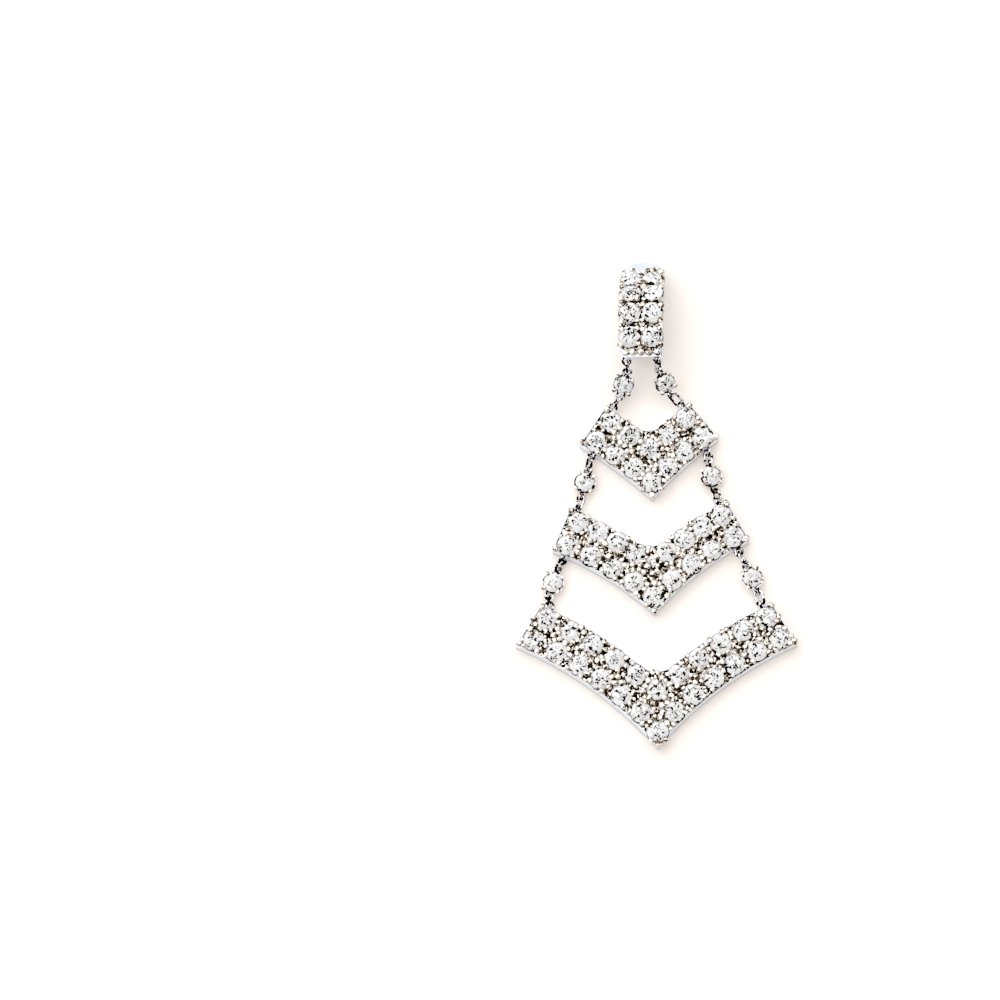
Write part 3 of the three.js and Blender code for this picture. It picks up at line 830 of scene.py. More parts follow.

# %% [markdown]
# ## One cut stone
#
# A round brilliant has a flat eight-sided table. Around it stand eight small star facets, eight kites
# that reach down to the edge, and sixteen upper girdle facets. Through the table the eye sees the
# cone of facets below, as a star of light and dark wedges. Here that star is drawn as real facets of
# the table, raised and lowered by a hundredth of a millimetre so each one mirrors its own patch of
# light, and every facet also carries a painted tone that stands in for reflected light and dark. One
# such stone is made once and set many times.

# %% The facets of one stone, and the tone of each
STONE_SIDES = 16
KITES = STONE_SIDES // 2
STAR = {"reach": 0.5, "wave": 0.22, "rise": 0.012}
KITE_TIP = {"out": 1.03, "up": 0.52}
INNER_TONES = (0.85, 0.45)
OUTER_TONES = (0.4, 0.8)
# The kites get the lightest tone, painted light that offsets the shade on the steep crown.
CROWN_TONES = {"star": 0.66, "kite": 0.9, "left": 0.55, "right": 0.68}
BELOW_TONES = {"girdle": 0.5, "pavilion": 0.4}


def brilliant(name, stone):
    radius = stone["diameter"] / 2
    table = radius * stone["table"]
    girdle = stone["girdle"]
    top = girdle + stone["crown"]
    vertices = []
    faces = []
    tones = []

    def ring(count, reach, height, turn=0.0, wave=0.0, lift=0.0):
        first = len(vertices)
        for i in range(count):
            angle = turn + FULL_TURN * i / count
            out = reach * (1 + wave * (-1) ** i)
            z = height + lift * (-1) ** i
            vertices.append(Vector((out * math.cos(angle), out * math.sin(angle), z)))
        return first

    def facet(tone, *corners):
        faces.append(corners)
        tones.append(tone)

    centre = len(vertices)
    vertices.append(Vector((0, 0, top + STAR["rise"])))
    star = ring(STONE_SIDES, table * STAR["reach"], top, wave=STAR["wave"], lift=STAR["rise"])
    edge = ring(STONE_SIDES, table, top)
    for i in range(1, STONE_SIDES, 2):
        flat = (vertices[edge + i - 1] + vertices[edge + (i + 1) % STONE_SIDES]) / 2
        vertices[edge + i] = flat
    half_way = (table * math.cos(EIGHTH_TURN / 2) + radius) / 2
    tip_height = girdle + stone["crown"] * KITE_TIP["up"]
    points = ring(KITES, half_way * KITE_TIP["out"], tip_height, turn=EIGHTH_TURN / 2)
    rim = ring(STONE_SIDES, radius, girdle)
    foot_ring = ring(STONE_SIDES, radius, 0)
    culet = len(vertices)
    vertices.append(Vector((0, 0, -stone["pavilion"])))
    for i in range(STONE_SIDES):
        j = (i + 1) % STONE_SIDES
        facet(INNER_TONES[i % 2], centre, star + i, star + j)
        facet(OUTER_TONES[i % 2], star + i, edge + i, edge + j)
        facet(OUTER_TONES[(i + 1) % 2], star + i, edge + j, star + j)
    for i in range(KITES):
        before = (i - 1) % KITES
        first = 2 * i
        second = (first + 1) % STONE_SIDES
        third = (first + 2) % STONE_SIDES
        facet(CROWN_TONES["star"], edge + first, edge + second, points + i)
        facet(CROWN_TONES["star"], edge + second, edge + third, points + i)
        facet(CROWN_TONES["kite"], edge + first, points + before, rim + first, points + i)
        facet(CROWN_TONES["left"], points + i, rim + first, rim + second)
        facet(CROWN_TONES["right"], points + i, rim + second, rim + third)
    for i in range(STONE_SIDES):
        j = (i + 1) % STONE_SIDES
        facet(BELOW_TONES["girdle"], rim + i, foot_ring + i, foot_ring + j, rim + j)
        facet(BELOW_TONES["pavilion"], foot_ring + i, culet, foot_ring + j)
    mesh = bpy.data.meshes.new(name)
    mesh.from_pydata(vertices, [], faces)
    work = bmesh.new()
    work.from_mesh(mesh)
    layer = work.faces.layers.float.new("tone")
    for face, tone in zip(work.faces, tones):
        face[layer] = tone
    bmesh.ops.recalc_face_normals(work, faces=work.faces)
    work.to_mesh(mesh)
    work.free()
    return in_scene(name, mesh)


stone_source = brilliant("stone_source", STONE)
drop_stone_source = brilliant("drop_stone_source", DROP_STONE)
print("one stone has", len(stone_source.data.polygons), "facets")

# %% [markdown]
# ## One bead, one collar
#
# A bead is a curl of metal pushed over the stone's edge and rounded by a cup burr. The collar is the cut
# ring around each stone: the rim of its seat. Both are turned from a short profile, and both narrow
# downwards, so that they don't stick out of the plate's wall where they stand at an edge.

# %% Turned parts: a profile spun round its axis
SAME_POINT = 1e-5


def turned(name, profile, sides):
    vertices = []
    faces = []
    for radius, height in profile:
        for i in range(sides):
            angle = FULL_TURN * i / sides
            vertices.append(Vector((radius * math.cos(angle), radius * math.sin(angle), height)))
    for ring in range(len(profile) - 1):
        for i in range(sides):
            j = (i + 1) % sides
            low = ring * sides
            faces.append((low + i, low + j, low + sides + j, low + sides + i))
    closed = profile[0] == profile[-1]
    if not closed:
        faces.append(tuple(reversed(range(sides))))
        last = (len(profile) - 1) * sides
        faces.append(tuple(range(last, last + sides)))
    mesh = bpy.data.meshes.new(name)
    mesh.from_pydata(vertices, [], faces)
    work = bmesh.new()
    work.from_mesh(mesh)
    bmesh.ops.remove_doubles(work, verts=work.verts, dist=SAME_POINT)
    bmesh.ops.recalc_face_normals(work, faces=work.faces)
    work.to_mesh(mesh)
    work.free()
    mesh.shade_smooth()
    return in_scene(name, mesh)


def shape_at(radius, height, offsets):
    return [(radius + out, height + up) for out, up in offsets]


# %% The bead from shares of its radius, and the collar from offsets to the stone's edge
BEAD_SIDES = 10
BEAD_SHAPE = [(0.55, -GRAIN["sunk"]), (1.0, 0.17), (0.97, 0.3), (0.8, 0.36), (0.4, GRAIN["height"])]
COLLAR_SIDES = 28
COLLAR_SHAPE = [
    (-0.1, -0.34), (0.06, -0.1), (0.07, 0.02), (0.045, 0.07), (0.015, 0.04), (-0.14, -0.3), (-0.1, -0.34),
]
bead_profile = [(GRAIN["radius"] * share, height) for share, height in BEAD_SHAPE]
bead_source = turned("bead_source", bead_profile, BEAD_SIDES)
collar_source = turned("collar_source", shape_at(STONE_RADIUS, 0, COLLAR_SHAPE), COLLAR_SIDES)
print("corners of a bead:", len(bead_source.data.vertices))
print("corners of a collar:", len(collar_source.data.vertices))

# %% [markdown]
# ## Setting many of one thing
#
# Stones, beads and collars repeat, so a Geometry Nodes tree sets them. It reads a cloud of points.
# Each point carries its turn and its size. The tree puts one copy on each point and makes the copies
# real. It then pushes their corners about with a smooth noise, which makes the beads uneven, gives
# every facet of every copy a different tone from a fixed seed, and sets the finish. Done this way, a
# change to one stone changes all of them.

# %% The tree
LUMP_DETAIL = 0
NOISE_MIDDLE = (0.5, 0.5, 0.5)


def setting_tree():
    tree = bpy.data.node_groups.new("set_on_seats", "GeometryNodeTree")
    face = tree.interface
    face.new_socket("Seats", in_out="INPUT", socket_type="NodeSocketGeometry")
    sockets = {}
    for name, kind in (
        ("Piece", "NodeSocketObject"), ("Size", "NodeSocketFloat"), ("Unevenness", "NodeSocketFloat"),
        ("Lump size", "NodeSocketFloat"), ("Tone spread", "NodeSocketFloat"),
        ("Seed", "NodeSocketInt"), ("Finish", "NodeSocketMaterial"),
    ):
        sockets[name] = face.new_socket(name, in_out="INPUT", socket_type=kind).identifier
    face.new_socket("Set", in_out="OUTPUT", socket_type="NodeSocketGeometry")
    given = add_node(tree, "NodeGroupInput")
    result = add_node(tree, "NodeGroupOutput")
    piece = add_node(tree, "GeometryNodeObjectInfo")
    turn = add_node(tree, "GeometryNodeInputNamedAttribute", data_type="FLOAT_VECTOR")
    turn.inputs["Name"].default_value = "turn"
    size = add_node(tree, "GeometryNodeInputNamedAttribute", data_type="FLOAT")
    size.inputs["Name"].default_value = "size"
    whole = add_node(tree, "ShaderNodeMath", operation="MULTIPLY")
    euler = add_node(tree, "FunctionNodeEulerToRotation")
    place = add_node(tree, "GeometryNodeInstanceOnPoints")
    real = add_node(tree, "GeometryNodeRealizeInstances")
    lumps = add_node(tree, "ShaderNodeTexNoise")
    lumps.inputs["Detail"].default_value = LUMP_DETAIL
    lump_scale = add_node(tree, "ShaderNodeMath", operation="DIVIDE")
    lump_scale.inputs[0].default_value = 1
    centred = add_node(tree, "ShaderNodeVectorMath", operation="SUBTRACT")
    centred.inputs[1].default_value = NOISE_MIDDLE
    push = add_node(tree, "ShaderNodeVectorMath", operation="SCALE")
    uneven = add_node(tree, "GeometryNodeSetPosition")
    old = add_node(tree, "GeometryNodeInputNamedAttribute", data_type="FLOAT")
    old.inputs["Name"].default_value = "tone"
    chance = add_node(tree, "FunctionNodeRandomValue", data_type="FLOAT")
    negative = add_node(tree, "ShaderNodeMath", operation="MULTIPLY")
    negative.inputs[1].default_value = -1
    mixed = add_node(tree, "ShaderNodeMath", operation="ADD")
    store = add_node(tree, "GeometryNodeStoreNamedAttribute", data_type="FLOAT", domain="FACE")
    store.inputs["Name"].default_value = "tone"
    finish = add_node(tree, "GeometryNodeSetMaterial")
    link = tree.links.new
    link(given.outputs["Piece"], piece.inputs["Object"])
    link(given.outputs["Seats"], place.inputs["Points"])
    link(piece.outputs["Geometry"], place.inputs["Instance"])
    link(turn.outputs["Attribute"], euler.inputs["Euler"])
    link(euler.outputs["Rotation"], place.inputs["Rotation"])
    link(size.outputs["Attribute"], whole.inputs[0])
    link(given.outputs["Size"], whole.inputs[1])
    link(whole.outputs["Value"], place.inputs["Scale"])
    link(place.outputs["Instances"], real.inputs["Geometry"])
    link(given.outputs["Tone spread"], negative.inputs[0])
    link(negative.outputs["Value"], chance.inputs[2])
    link(given.outputs["Tone spread"], chance.inputs[3])
    link(given.outputs["Seed"], chance.inputs["Seed"])
    link(old.outputs["Attribute"], mixed.inputs[0])
    link(chance.outputs[1], mixed.inputs[1])
    link(given.outputs["Lump size"], lump_scale.inputs[1])
    link(lump_scale.outputs["Value"], lumps.inputs["Scale"])
    link(lumps.outputs["Color"], centred.inputs[0])
    link(centred.outputs["Vector"], push.inputs[0])
    link(given.outputs["Unevenness"], push.inputs["Scale"])
    link(real.outputs["Geometry"], uneven.inputs["Geometry"])
    link(push.outputs["Vector"], uneven.inputs["Offset"])
    link(uneven.outputs["Geometry"], store.inputs["Geometry"])
    link(mixed.outputs["Value"], store.inputs["Value"])
    link(store.outputs["Geometry"], finish.inputs["Geometry"])
    link(given.outputs["Finish"], finish.inputs["Material"])
    link(finish.outputs["Geometry"], result.inputs["Set"])
    return tree, sockets


set_on_seats, seat_sockets = setting_tree()
print("tree inputs:", list(seat_sockets))

# %% Seats are points that carry a turn and a size; the tree's result becomes a plain mesh
LUMP = 0.3


def seat_cloud(name, seats):
    mesh = bpy.data.meshes.new(name)
    mesh.from_pydata([(place.translation + shift) * METRES for place, _ in seats], [], [])
    mesh.attributes.new("turn", "FLOAT_VECTOR", "POINT")
    mesh.attributes.new("size", "FLOAT", "POINT")
    for i, (place, scale) in enumerate(seats):
        mesh.attributes["turn"].data[i].vector = place.to_euler("XYZ")
        mesh.attributes["size"].data[i].value = scale
    return in_scene(name, mesh)


def as_plain_mesh(name, cloud):
    bpy.context.view_layer.update()
    evaluated = cloud.evaluated_get(bpy.context.evaluated_depsgraph_get())
    mesh = bpy.data.meshes.new_from_object(evaluated)
    mesh.name = name
    cloud.modifiers.clear()
    bpy.data.objects.remove(cloud)
    return in_scene(name, mesh)


def set_pieces(name, seats, source, finish, seed=0, spread=0.0, uneven=0.0):
    cloud = seat_cloud(name + "_seats", seats)
    modifier = cloud.modifiers.new("set", "NODES")
    modifier.node_group = set_on_seats
    modifier[seat_sockets["Piece"]] = source
    modifier[seat_sockets["Size"]] = METRES
    modifier[seat_sockets["Unevenness"]] = uneven * METRES
    modifier[seat_sockets["Lump size"]] = LUMP * METRES
    modifier[seat_sockets["Tone spread"]] = spread
    modifier[seat_sockets["Seed"]] = seed
    modifier[seat_sockets["Finish"]] = finish
    piece = as_plain_mesh(name, cloud)
    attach(piece, BODY)
    return piece


# %% [markdown]
# ## Where the stones and the beads stand
#
# A jeweller marks out a field flat and then works on the metal, so the places are found on a flat
# drawing of each field: two numbers for each stone. One function then lifts a flat place onto the
# chevron's face, and another bends it round the bar.
#
# The stones follow their rows, and four beads hold each one. A bead stands on the tip and on every
# corner of a chevron, and a row of larger ones closes the bar's lower end. More beads line the edge.
# Fillers take the gaps that are left: larger ones first, then small ones on the chevrons.

# %% Sizes of the beads and how far they keep from each other
EDGE_BEADS = {"inset": 0.16, "step": 0.56, "stretch": (0.5, 1), "size": (0.85, 1.35)}
END_ROW = {"gap": 0.72, "each_side": 2, "from_end": 0.44, "size": 1.45}
POINT_BEADS = {"above_tip": 0.15, "corner_inset": 0.2, "size": 1.35}
FILLERS = [
    {"clear": 0.6, "stone_clear": 0.2, "size": (1.15, 1.45)},
    {"clear": 0.44, "stone_clear": 0.04, "size": (0.8, 1.25)},
]
# Fillers keep this many edge insets away from a chevron's outline.
FILLER_INSETS = 1.3

# %% A field: its flat stones, its edge, and how a flat place becomes a frame
def chevron_field(chevron, place):
    middle = chevron["arm_width"] / 2
    gap = PLATE["row_gap"] / 2
    point, slope_at, slope_from_end = chevron_arcs(chevron)
    tip = point(slope_at(0, 0), 0) + Vector((0, POINT_BEADS["above_tip"]))
    inset = POINT_BEADS["corner_inset"]
    corner_heights = (inset, chevron["arm_width"] - inset)
    corners = [point(slope_from_end(inset, above), above) for above in corner_heights]
    corners += [Vector((-corner.x, corner.y)) for corner in corners]
    rows = row_stones(chevron, chevron["upper"], middle + gap)
    rows += row_stones(chevron, chevron["lower"], middle - gap)

    def frame_at(u, v, slope=0):
        along = Vector((math.cos(slope), math.sin(slope), 0))
        return place @ frame_on(Vector((u, v, PLATE["thickness"])), along, OUT)

    return {
        "name": chevron["name"], "frame_at": frame_at,
        "stones": [(spot.x, spot.y, slope, size) for spot, slope, size in rows],
        "edge": full_outline(chevron, -EDGE_BEADS["inset"]),
        "inside": full_outline(chevron, -EDGE_BEADS["inset"] * FILLER_INSETS),
        "placed": [(spot, POINT_BEADS["size"]) for spot in [tip] + corners],
        "fillers": FILLERS,
    }


def bar_field():
    stones = []
    for row in range(BAR["rows"]):
        for column in range(BAR["columns"]):
            x = (column - (BAR["columns"] - 1) / 2) * BAR["column_gap"]
            stones.append((x, FIRST_ROW + row * BAR["row_gap"], 0, 1))

    # The bar's rows are straight, so the slope that a chevron's places need is left unused here.
    def frame_at(u, v, _=0):
        tilt = bar_front(v)[2]
        out = Vector((0, math.sin(tilt), math.cos(tilt)))
        return bar_frame @ frame_on(bar_point(v, u, 0), ACROSS, out)

    side = BAR["width"] / 2 - EDGE_BEADS["inset"]
    low = EDGE_BEADS["inset"]
    high = LAST_ROW + STONE_RADIUS + EDGE_BEADS["inset"]
    corners = [Vector((-side, low)), Vector((side, low)), Vector((side, high)), Vector((-side, high))]
    steps = range(-END_ROW["each_side"], END_ROW["each_side"] + 1)
    row = [Vector((END_ROW["gap"] * i, END_ROW["from_end"])) for i in steps]
    return {
        "name": "top_bar", "frame_at": frame_at, "stones": stones, "edge": corners, "inside": corners,
        "placed": [(spot, END_ROW["size"]) for spot in row],
        "fillers": FILLERS[:1],
    }


fields = [bar_field()]
fields += [chevron_field(chevron, place) for chevron, place in zip(CHEVRONS, chevron_frames)]
print("stones in each field:", {field["name"]: len(field["stones"]) for field in fields})

# %% [markdown]
# Hand-set stones are never quite level. A seeded random number tips each one by up to three degrees and
# spins it, so that no two stones flash alike. The beads vary too: a graver raises each from the metal,
# and no two come out the same size.

# %% Seats of the stones, and of the four beads around each
STONE_TILT = math.radians(3)
BEAD_JITTER = 0.04
BEAD_SWING = 0.12
BEAD_SIZE = (0.85, 1.3)
EIGHTHS_OF_BEADS = (1, 3, 5, 7)
CHANCE_SEED = 41
chance = random.Random(CHANCE_SEED)


def tipped(place):
    spin = Matrix.Rotation(chance.uniform(0, FULL_TURN), 4, "Z")
    tip = Matrix.Rotation(chance.uniform(-STONE_TILT, STONE_TILT), 4, "X")
    lean = Matrix.Rotation(chance.uniform(-STONE_TILT, STONE_TILT), 4, "Y")
    return place @ tip @ lean @ spin


def stone_seats(field):
    return [(tipped(field["frame_at"](u, v, slope)), size) for u, v, slope, size in field["stones"]]


def collar_seats(field):
    return [(field["frame_at"](u, v, slope), size) for u, v, slope, size in field["stones"]]


def holding_beads(field):
    beads = []
    reach = GRAIN["reach"] + STONE_RADIUS
    for u, v, slope, size in field["stones"]:
        for eighths in EIGHTHS_OF_BEADS:
            angle = slope + eighths * EIGHTH_TURN + chance.uniform(-BEAD_SWING, BEAD_SWING)
            out = reach * size + chance.uniform(-BEAD_JITTER, BEAD_JITTER)
            place = Vector((u + out * math.cos(angle), v + out * math.sin(angle)))
            beads.append((place, chance.uniform(*BEAD_SIZE)))
    return beads


# %% Beads along the edge, wherever no other bead stands near
BEAD_CLEAR = 0.46
STONE_CLEAR = 0.04


def clear_of(place, field, beads, bead_clear, stone_clear):
    for u, v, _, size in field["stones"]:
        if (place - Vector((u, v))).length < STONE_RADIUS * size + stone_clear:
            return False
    return all((place - other).length > bead_clear for other, _ in beads)


def edge_beads(field, beads):
    found = []
    line = field["edge"]
    left_over = 0
    for start, end in zip(line, line[1:] + line[:1]):
        length = (end - start).length
        travelled = left_over
        while travelled < length:
            place = start.lerp(end, travelled / length)
            if clear_of(place, field, beads + found, BEAD_CLEAR, STONE_CLEAR):
                found.append((place, chance.uniform(*EDGE_BEADS["size"])))
            travelled += EDGE_BEADS["step"] * chance.uniform(*EDGE_BEADS["stretch"])
        left_over = travelled - length
    return found


# %% Fillers: beads at random places inside the edge, wherever there is still room
FILLER_TRIES = 9000


def is_inside(place, line):
    inside = False
    for start, end in zip(line, line[1:] + line[:1]):
        if (start.y > place.y) != (end.y > place.y):
            crossing = start.x + (place.y - start.y) * (end.x - start.x) / (end.y - start.y)
            if place.x < crossing:
                inside = not inside
    return inside


def filler_beads(field, beads):
    line = field["inside"]
    low = Vector((min(point.x for point in line), min(point.y for point in line)))
    high = Vector((max(point.x for point in line), max(point.y for point in line)))
    found = []
    for filler in field["fillers"]:
        for _ in range(FILLER_TRIES):
            place = Vector((chance.uniform(low.x, high.x), chance.uniform(low.y, high.y)))
            if not is_inside(place, line):
                continue
            if clear_of(place, field, beads + found, filler["clear"], filler["stone_clear"]):
                found.append((place, chance.uniform(*filler["size"])))
    return found


def bead_seats(field):
    beads = holding_beads(field) + field["placed"]
    beads += edge_beads(field, beads)
    beads += filler_beads(field, beads)
    return [(field["frame_at"](place.x, place.y), size) for place, size in beads]


# %% [markdown]
# The bar and the top chevron catch more of the light overhead than the two lower chevrons. A wider
# spread of tones among their facets keeps as many black ones there as elsewhere.

# %% Set every field
TONE_SPREAD = {"top_bar": 0.64, "chevron_top": 0.64, "chevron_middle": 0.46, "chevron_bottom": 0.44}
LINK_TONE_SPREAD = 0.34
BEAD_LUMPS = 0.22
for seed, field in enumerate(fields, start=1):
    name = field["name"]
    set_pieces(name + "_stones", stone_seats(field), stone_source, stone_finish,
               seed, TONE_SPREAD[name])
    set_pieces(name + "_collars", collar_seats(field), collar_source, seat_metal)
    seats = bead_seats(field)
    set_pieces(name + "_beads", seats, bead_source, bead_metal, uneven=BEAD_LUMPS)
    print(name, "has", len(seats), "beads")


# %% [markdown]
# ## Wire: eyes and jump rings
#
# Every ring is a piece of round wire bent to an oval. A second Geometry Nodes tree draws it: a circle
# of points pulled apart to the ring's length, with the wire's section swept along it. An eye is the
# same ring with no straight part, soldered half into the edge that carries it.

# %% The wire tree
RING_STEPS = 36
WIRE_STEPS = 12


def wire_tree():
    tree = bpy.data.node_groups.new("wire_ring", "GeometryNodeTree")
    face = tree.interface
    face.new_socket("Seats", in_out="INPUT", socket_type="NodeSocketGeometry")
    sockets = {}
    for name, kind in (
        ("Bend radius", "NodeSocketFloat"), ("Straight", "NodeSocketFloat"),
        ("Wire radius", "NodeSocketFloat"), ("Finish", "NodeSocketMaterial"),
    ):
        sockets[name] = face.new_socket(name, in_out="INPUT", socket_type=kind).identifier
    face.new_socket("Ring", in_out="OUTPUT", socket_type="NodeSocketGeometry")
    given = add_node(tree, "NodeGroupInput")
    result = add_node(tree, "NodeGroupOutput")
    circle = add_node(tree, "GeometryNodeCurvePrimitiveCircle")
    circle.inputs["Resolution"].default_value = RING_STEPS
    section = add_node(tree, "GeometryNodeCurvePrimitiveCircle")
    section.inputs["Resolution"].default_value = WIRE_STEPS
    where = add_node(tree, "GeometryNodeInputPosition")
    split = add_node(tree, "ShaderNodeSeparateXYZ")
    sign = add_node(tree, "ShaderNodeMath", operation="SIGN")
    pull = add_node(tree, "ShaderNodeMath", operation="MULTIPLY")
    offset = add_node(tree, "ShaderNodeCombineXYZ")
    oval = add_node(tree, "GeometryNodeSetPosition")
    sweep = add_node(tree, "GeometryNodeCurveToMesh")
    smooth = add_node(tree, "GeometryNodeSetShadeSmooth")
    turn = add_node(tree, "GeometryNodeInputNamedAttribute", data_type="FLOAT_VECTOR")
    turn.inputs["Name"].default_value = "turn"
    euler = add_node(tree, "FunctionNodeEulerToRotation")
    place = add_node(tree, "GeometryNodeInstanceOnPoints")
    real = add_node(tree, "GeometryNodeRealizeInstances")
    finish = add_node(tree, "GeometryNodeSetMaterial")
    link = tree.links.new
    link(given.outputs["Bend radius"], circle.inputs["Radius"])
    link(given.outputs["Wire radius"], section.inputs["Radius"])
    link(circle.outputs["Curve"], oval.inputs["Geometry"])
    link(where.outputs["Position"], split.inputs["Vector"])
    link(split.outputs["X"], sign.inputs[0])
    link(sign.outputs["Value"], pull.inputs[0])
    link(given.outputs["Straight"], pull.inputs[1])
    link(pull.outputs["Value"], offset.inputs["X"])
    link(offset.outputs["Vector"], oval.inputs["Offset"])
    link(oval.outputs["Geometry"], sweep.inputs["Curve"])
    link(section.outputs["Curve"], sweep.inputs["Profile Curve"])
    link(sweep.outputs["Mesh"], smooth.inputs["Geometry"])
    link(smooth.outputs["Geometry"], place.inputs["Instance"])
    link(given.outputs["Seats"], place.inputs["Points"])
    link(turn.outputs["Attribute"], euler.inputs["Euler"])
    link(euler.outputs["Rotation"], place.inputs["Rotation"])
    link(place.outputs["Instances"], real.inputs["Geometry"])
    link(real.outputs["Geometry"], finish.inputs["Geometry"])
    link(given.outputs["Finish"], finish.inputs["Material"])
    link(finish.outputs["Geometry"], result.inputs["Ring"])
    return tree, sockets


wire_ring, wire_sockets = wire_tree()


def wire_piece(name, seats, bend_radius, straight):
    cloud = seat_cloud(name + "_seats", seats)
    modifier = cloud.modifiers.new("wire", "NODES")
    modifier.node_group = wire_ring
    modifier[wire_sockets["Bend radius"]] = bend_radius * METRES
    modifier[wire_sockets["Straight"]] = straight * METRES
    modifier[wire_sockets["Wire radius"]] = WIRE_RADIUS * METRES
    modifier[wire_sockets["Finish"]] = ring_metal
    piece = as_plain_mesh(name, cloud)
    turn_outwards(piece)
    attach(piece, BODY)
    return piece


# %% Jump rings, one for each node
for connector in connectors:
    for link in connector["links"]:
        node = f"ring_{connector['name']}_{link['place']}"
        length = (link["cup_eye"] - link["plate_eye"]).length
        middle = (link["cup_eye"] + link["plate_eye"]) / 2
        normal = link["along"].cross(link["across"])
        ring = wire_piece(node + "_wire", [(frame_on(middle, link["along"], normal), 1)],
                          RING_BEND, length / 2 - RING_BEND)
        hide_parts(node)


# %% Eyes on the bar and on the chevrons
def eye_frame(centre, link):
    return frame_on(centre, link["along"], link["across"])


plate_eyes = {name: [] for name in ("top_bar", "chevron_top", "chevron_middle", "chevron_bottom")}
names = list(plate_eyes)
for connector in connectors:
    upper, lower = connector["links"]
    plate_eyes[names[connector["level"]]].append((eye_frame(upper["plate_eye"], upper), 1))
    plate_eyes[names[connector["level"] + 1]].append((eye_frame(lower["plate_eye"], lower), 1))
for name, seats in plate_eyes.items():
    wire_piece(name + "_eyes", seats, EYE_RADIUS, 0)
print("eyes:", {name: len(seats) for name, seats in plate_eyes.items()})

# %% [markdown]
# ## The single settings
#
# Each link holds one stone in a small turned cup, open at the top, with four prongs bent over its
# edge. The cup has a rounded foot, a belly and a thin bright rim. Two wire eyes stand on its sides.

# %% The cup's profile, as offsets from its foot, its rim, its seat and its axis
CUP_SIDES = 40
CUP_FOOT = CUP["foot_above_table"] - EYE["height"]
RIM_TOP = GIRDLE_ABOVE_EYES - CUP["play"]
FOOT_SHAPE = [(-0.1, 0), (0, 0.05), (0.02, 0.14)]
RIM_SHAPE = [(-0.06, -0.24), (0, -0.14), (0, -0.04), (-0.03, 0)]
SEAT_SHAPE = [(0, 0), (-0.06, -0.1)]
AXIS_SHAPE = [(0.05, CUP["floor"]), (0.05, 0)]
cup_profile = shape_at(CUP["base_radius"], CUP_FOOT, FOOT_SHAPE)
cup_profile += shape_at(RIM_RADIUS, RIM_TOP, RIM_SHAPE)
cup_profile += shape_at(SEAT_RADIUS, RIM_TOP, SEAT_SHAPE)
cup_profile += shape_at(0, CUP_FOOT, AXIS_SHAPE)
cup_source = turned("cup_source", cup_profile, CUP_SIDES)
cup_source.data.set_sharp_from_angle(angle=SHARP_ANGLE)

# %% A prong: a round wire that leans in over the stone and ends in a rounded head
PRONG_SIDES = 12
PRONG_BEND = 0.5
PRONG_PROFILE = [
    (0.0, 0.85), (0.35, 1.0), (0.6, 1.25), (0.8, 1.55), (0.92, 1.45), (0.98, 0.95), (1.0, 0.3),
]


def prong_source():
    foot_z = GIRDLE_ABOVE_EYES - PRONG["root"]
    top_z = GIRDLE_ABOVE_EYES + DROP_STONE["girdle"] + PRONG["over_girdle"]
    vertices = []
    for share, width in PRONG_PROFILE:
        height = foot_z + (top_z - foot_z) * share
        leaning_in = PRONG["lean"] * max(share - PRONG_BEND, 0) / (1 - PRONG_BEND)
        tucked_under = PRONG["radius"] * max(PRONG_BEND - share, 0) / PRONG_BEND
        out = SEAT_RADIUS + PRONG["radius"] - leaning_in - tucked_under
        for i in range(PRONG_SIDES):
            angle = FULL_TURN * i / PRONG_SIDES
            size = PRONG["radius"] * width
            vertices.append(Vector((out + size * math.cos(angle), size * math.sin(angle), height)))
    mesh = bpy.data.meshes.new("prong_source")
    mesh.from_pydata(vertices, [], loft_faces(len(PRONG_PROFILE), PRONG_SIDES))
    source = in_scene("prong_source", mesh)
    turn_outwards(source)
    return source


one_prong = prong_source()

# %% Cups, prongs and stones of the six links
FIRST_LINK_SEED = 11
for seed, connector in enumerate(connectors, start=FIRST_LINK_SEED):
    name = connector["name"]
    place = connector["frame"]
    cup = set_pieces(f"setting_{name}_cup", [(place, 1)], cup_source, ring_metal)
    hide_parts(f"setting_{name}")
    turns = [Matrix.Rotation((i + 0.5) * FULL_TURN / PRONG["count"], 4, "Z") for i in range(PRONG["count"])]
    set_pieces(f"setting_{name}_prongs", [(place @ turn, 1) for turn in turns], one_prong, bead_metal)
    eyes = [(eye_frame(link["cup_eye"], link), 1) for link in connector["links"]]
    wire_piece(f"setting_{name}_eyes", eyes, EYE_RADIUS, 0)
    seat = tipped(place @ Matrix.Translation((0, 0, GIRDLE_ABOVE_EYES)))
    stone = set_pieces(f"stone_{name}_cut", [(seat, 1)], drop_stone_source, stone_finish,
                       seed, LINK_TONE_SPREAD)
    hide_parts(f"stone_{name}")


# %% The originals that were only there to be copied are taken away
for source in (stone_source, drop_stone_source, bead_source, collar_source, cup_source, one_prong):
    bpy.data.objects.remove(source)


# %% [markdown]
# ## The table
#
# The photograph has a white table with no edge in sight, and a faint peach shade close to the metal.
# The table is a wide plane with a neutral pale finish, which the light washes out to plain white. A
# very faint warm glow comes from the plane itself, as if light passed up through paper. It drowns in
# the light everywhere but next to the earring, where the metal keeps the light away, and there it
# tints the shade.

# %% The floor
FLOOR = {"size": 6.0, "gap": 0.02, "noise_scale": 40, "noise_detail": 3, "roughness": 0.7, "specular": 0.2}
FLOOR_TONES = [(0, (0.84, 0.84, 0.84)), (1, (0.86, 0.86, 0.86))]
GLOW_COLOUR = (1.0, 0.66, 0.36, 1)
GLOW_STRENGTH = 0.225


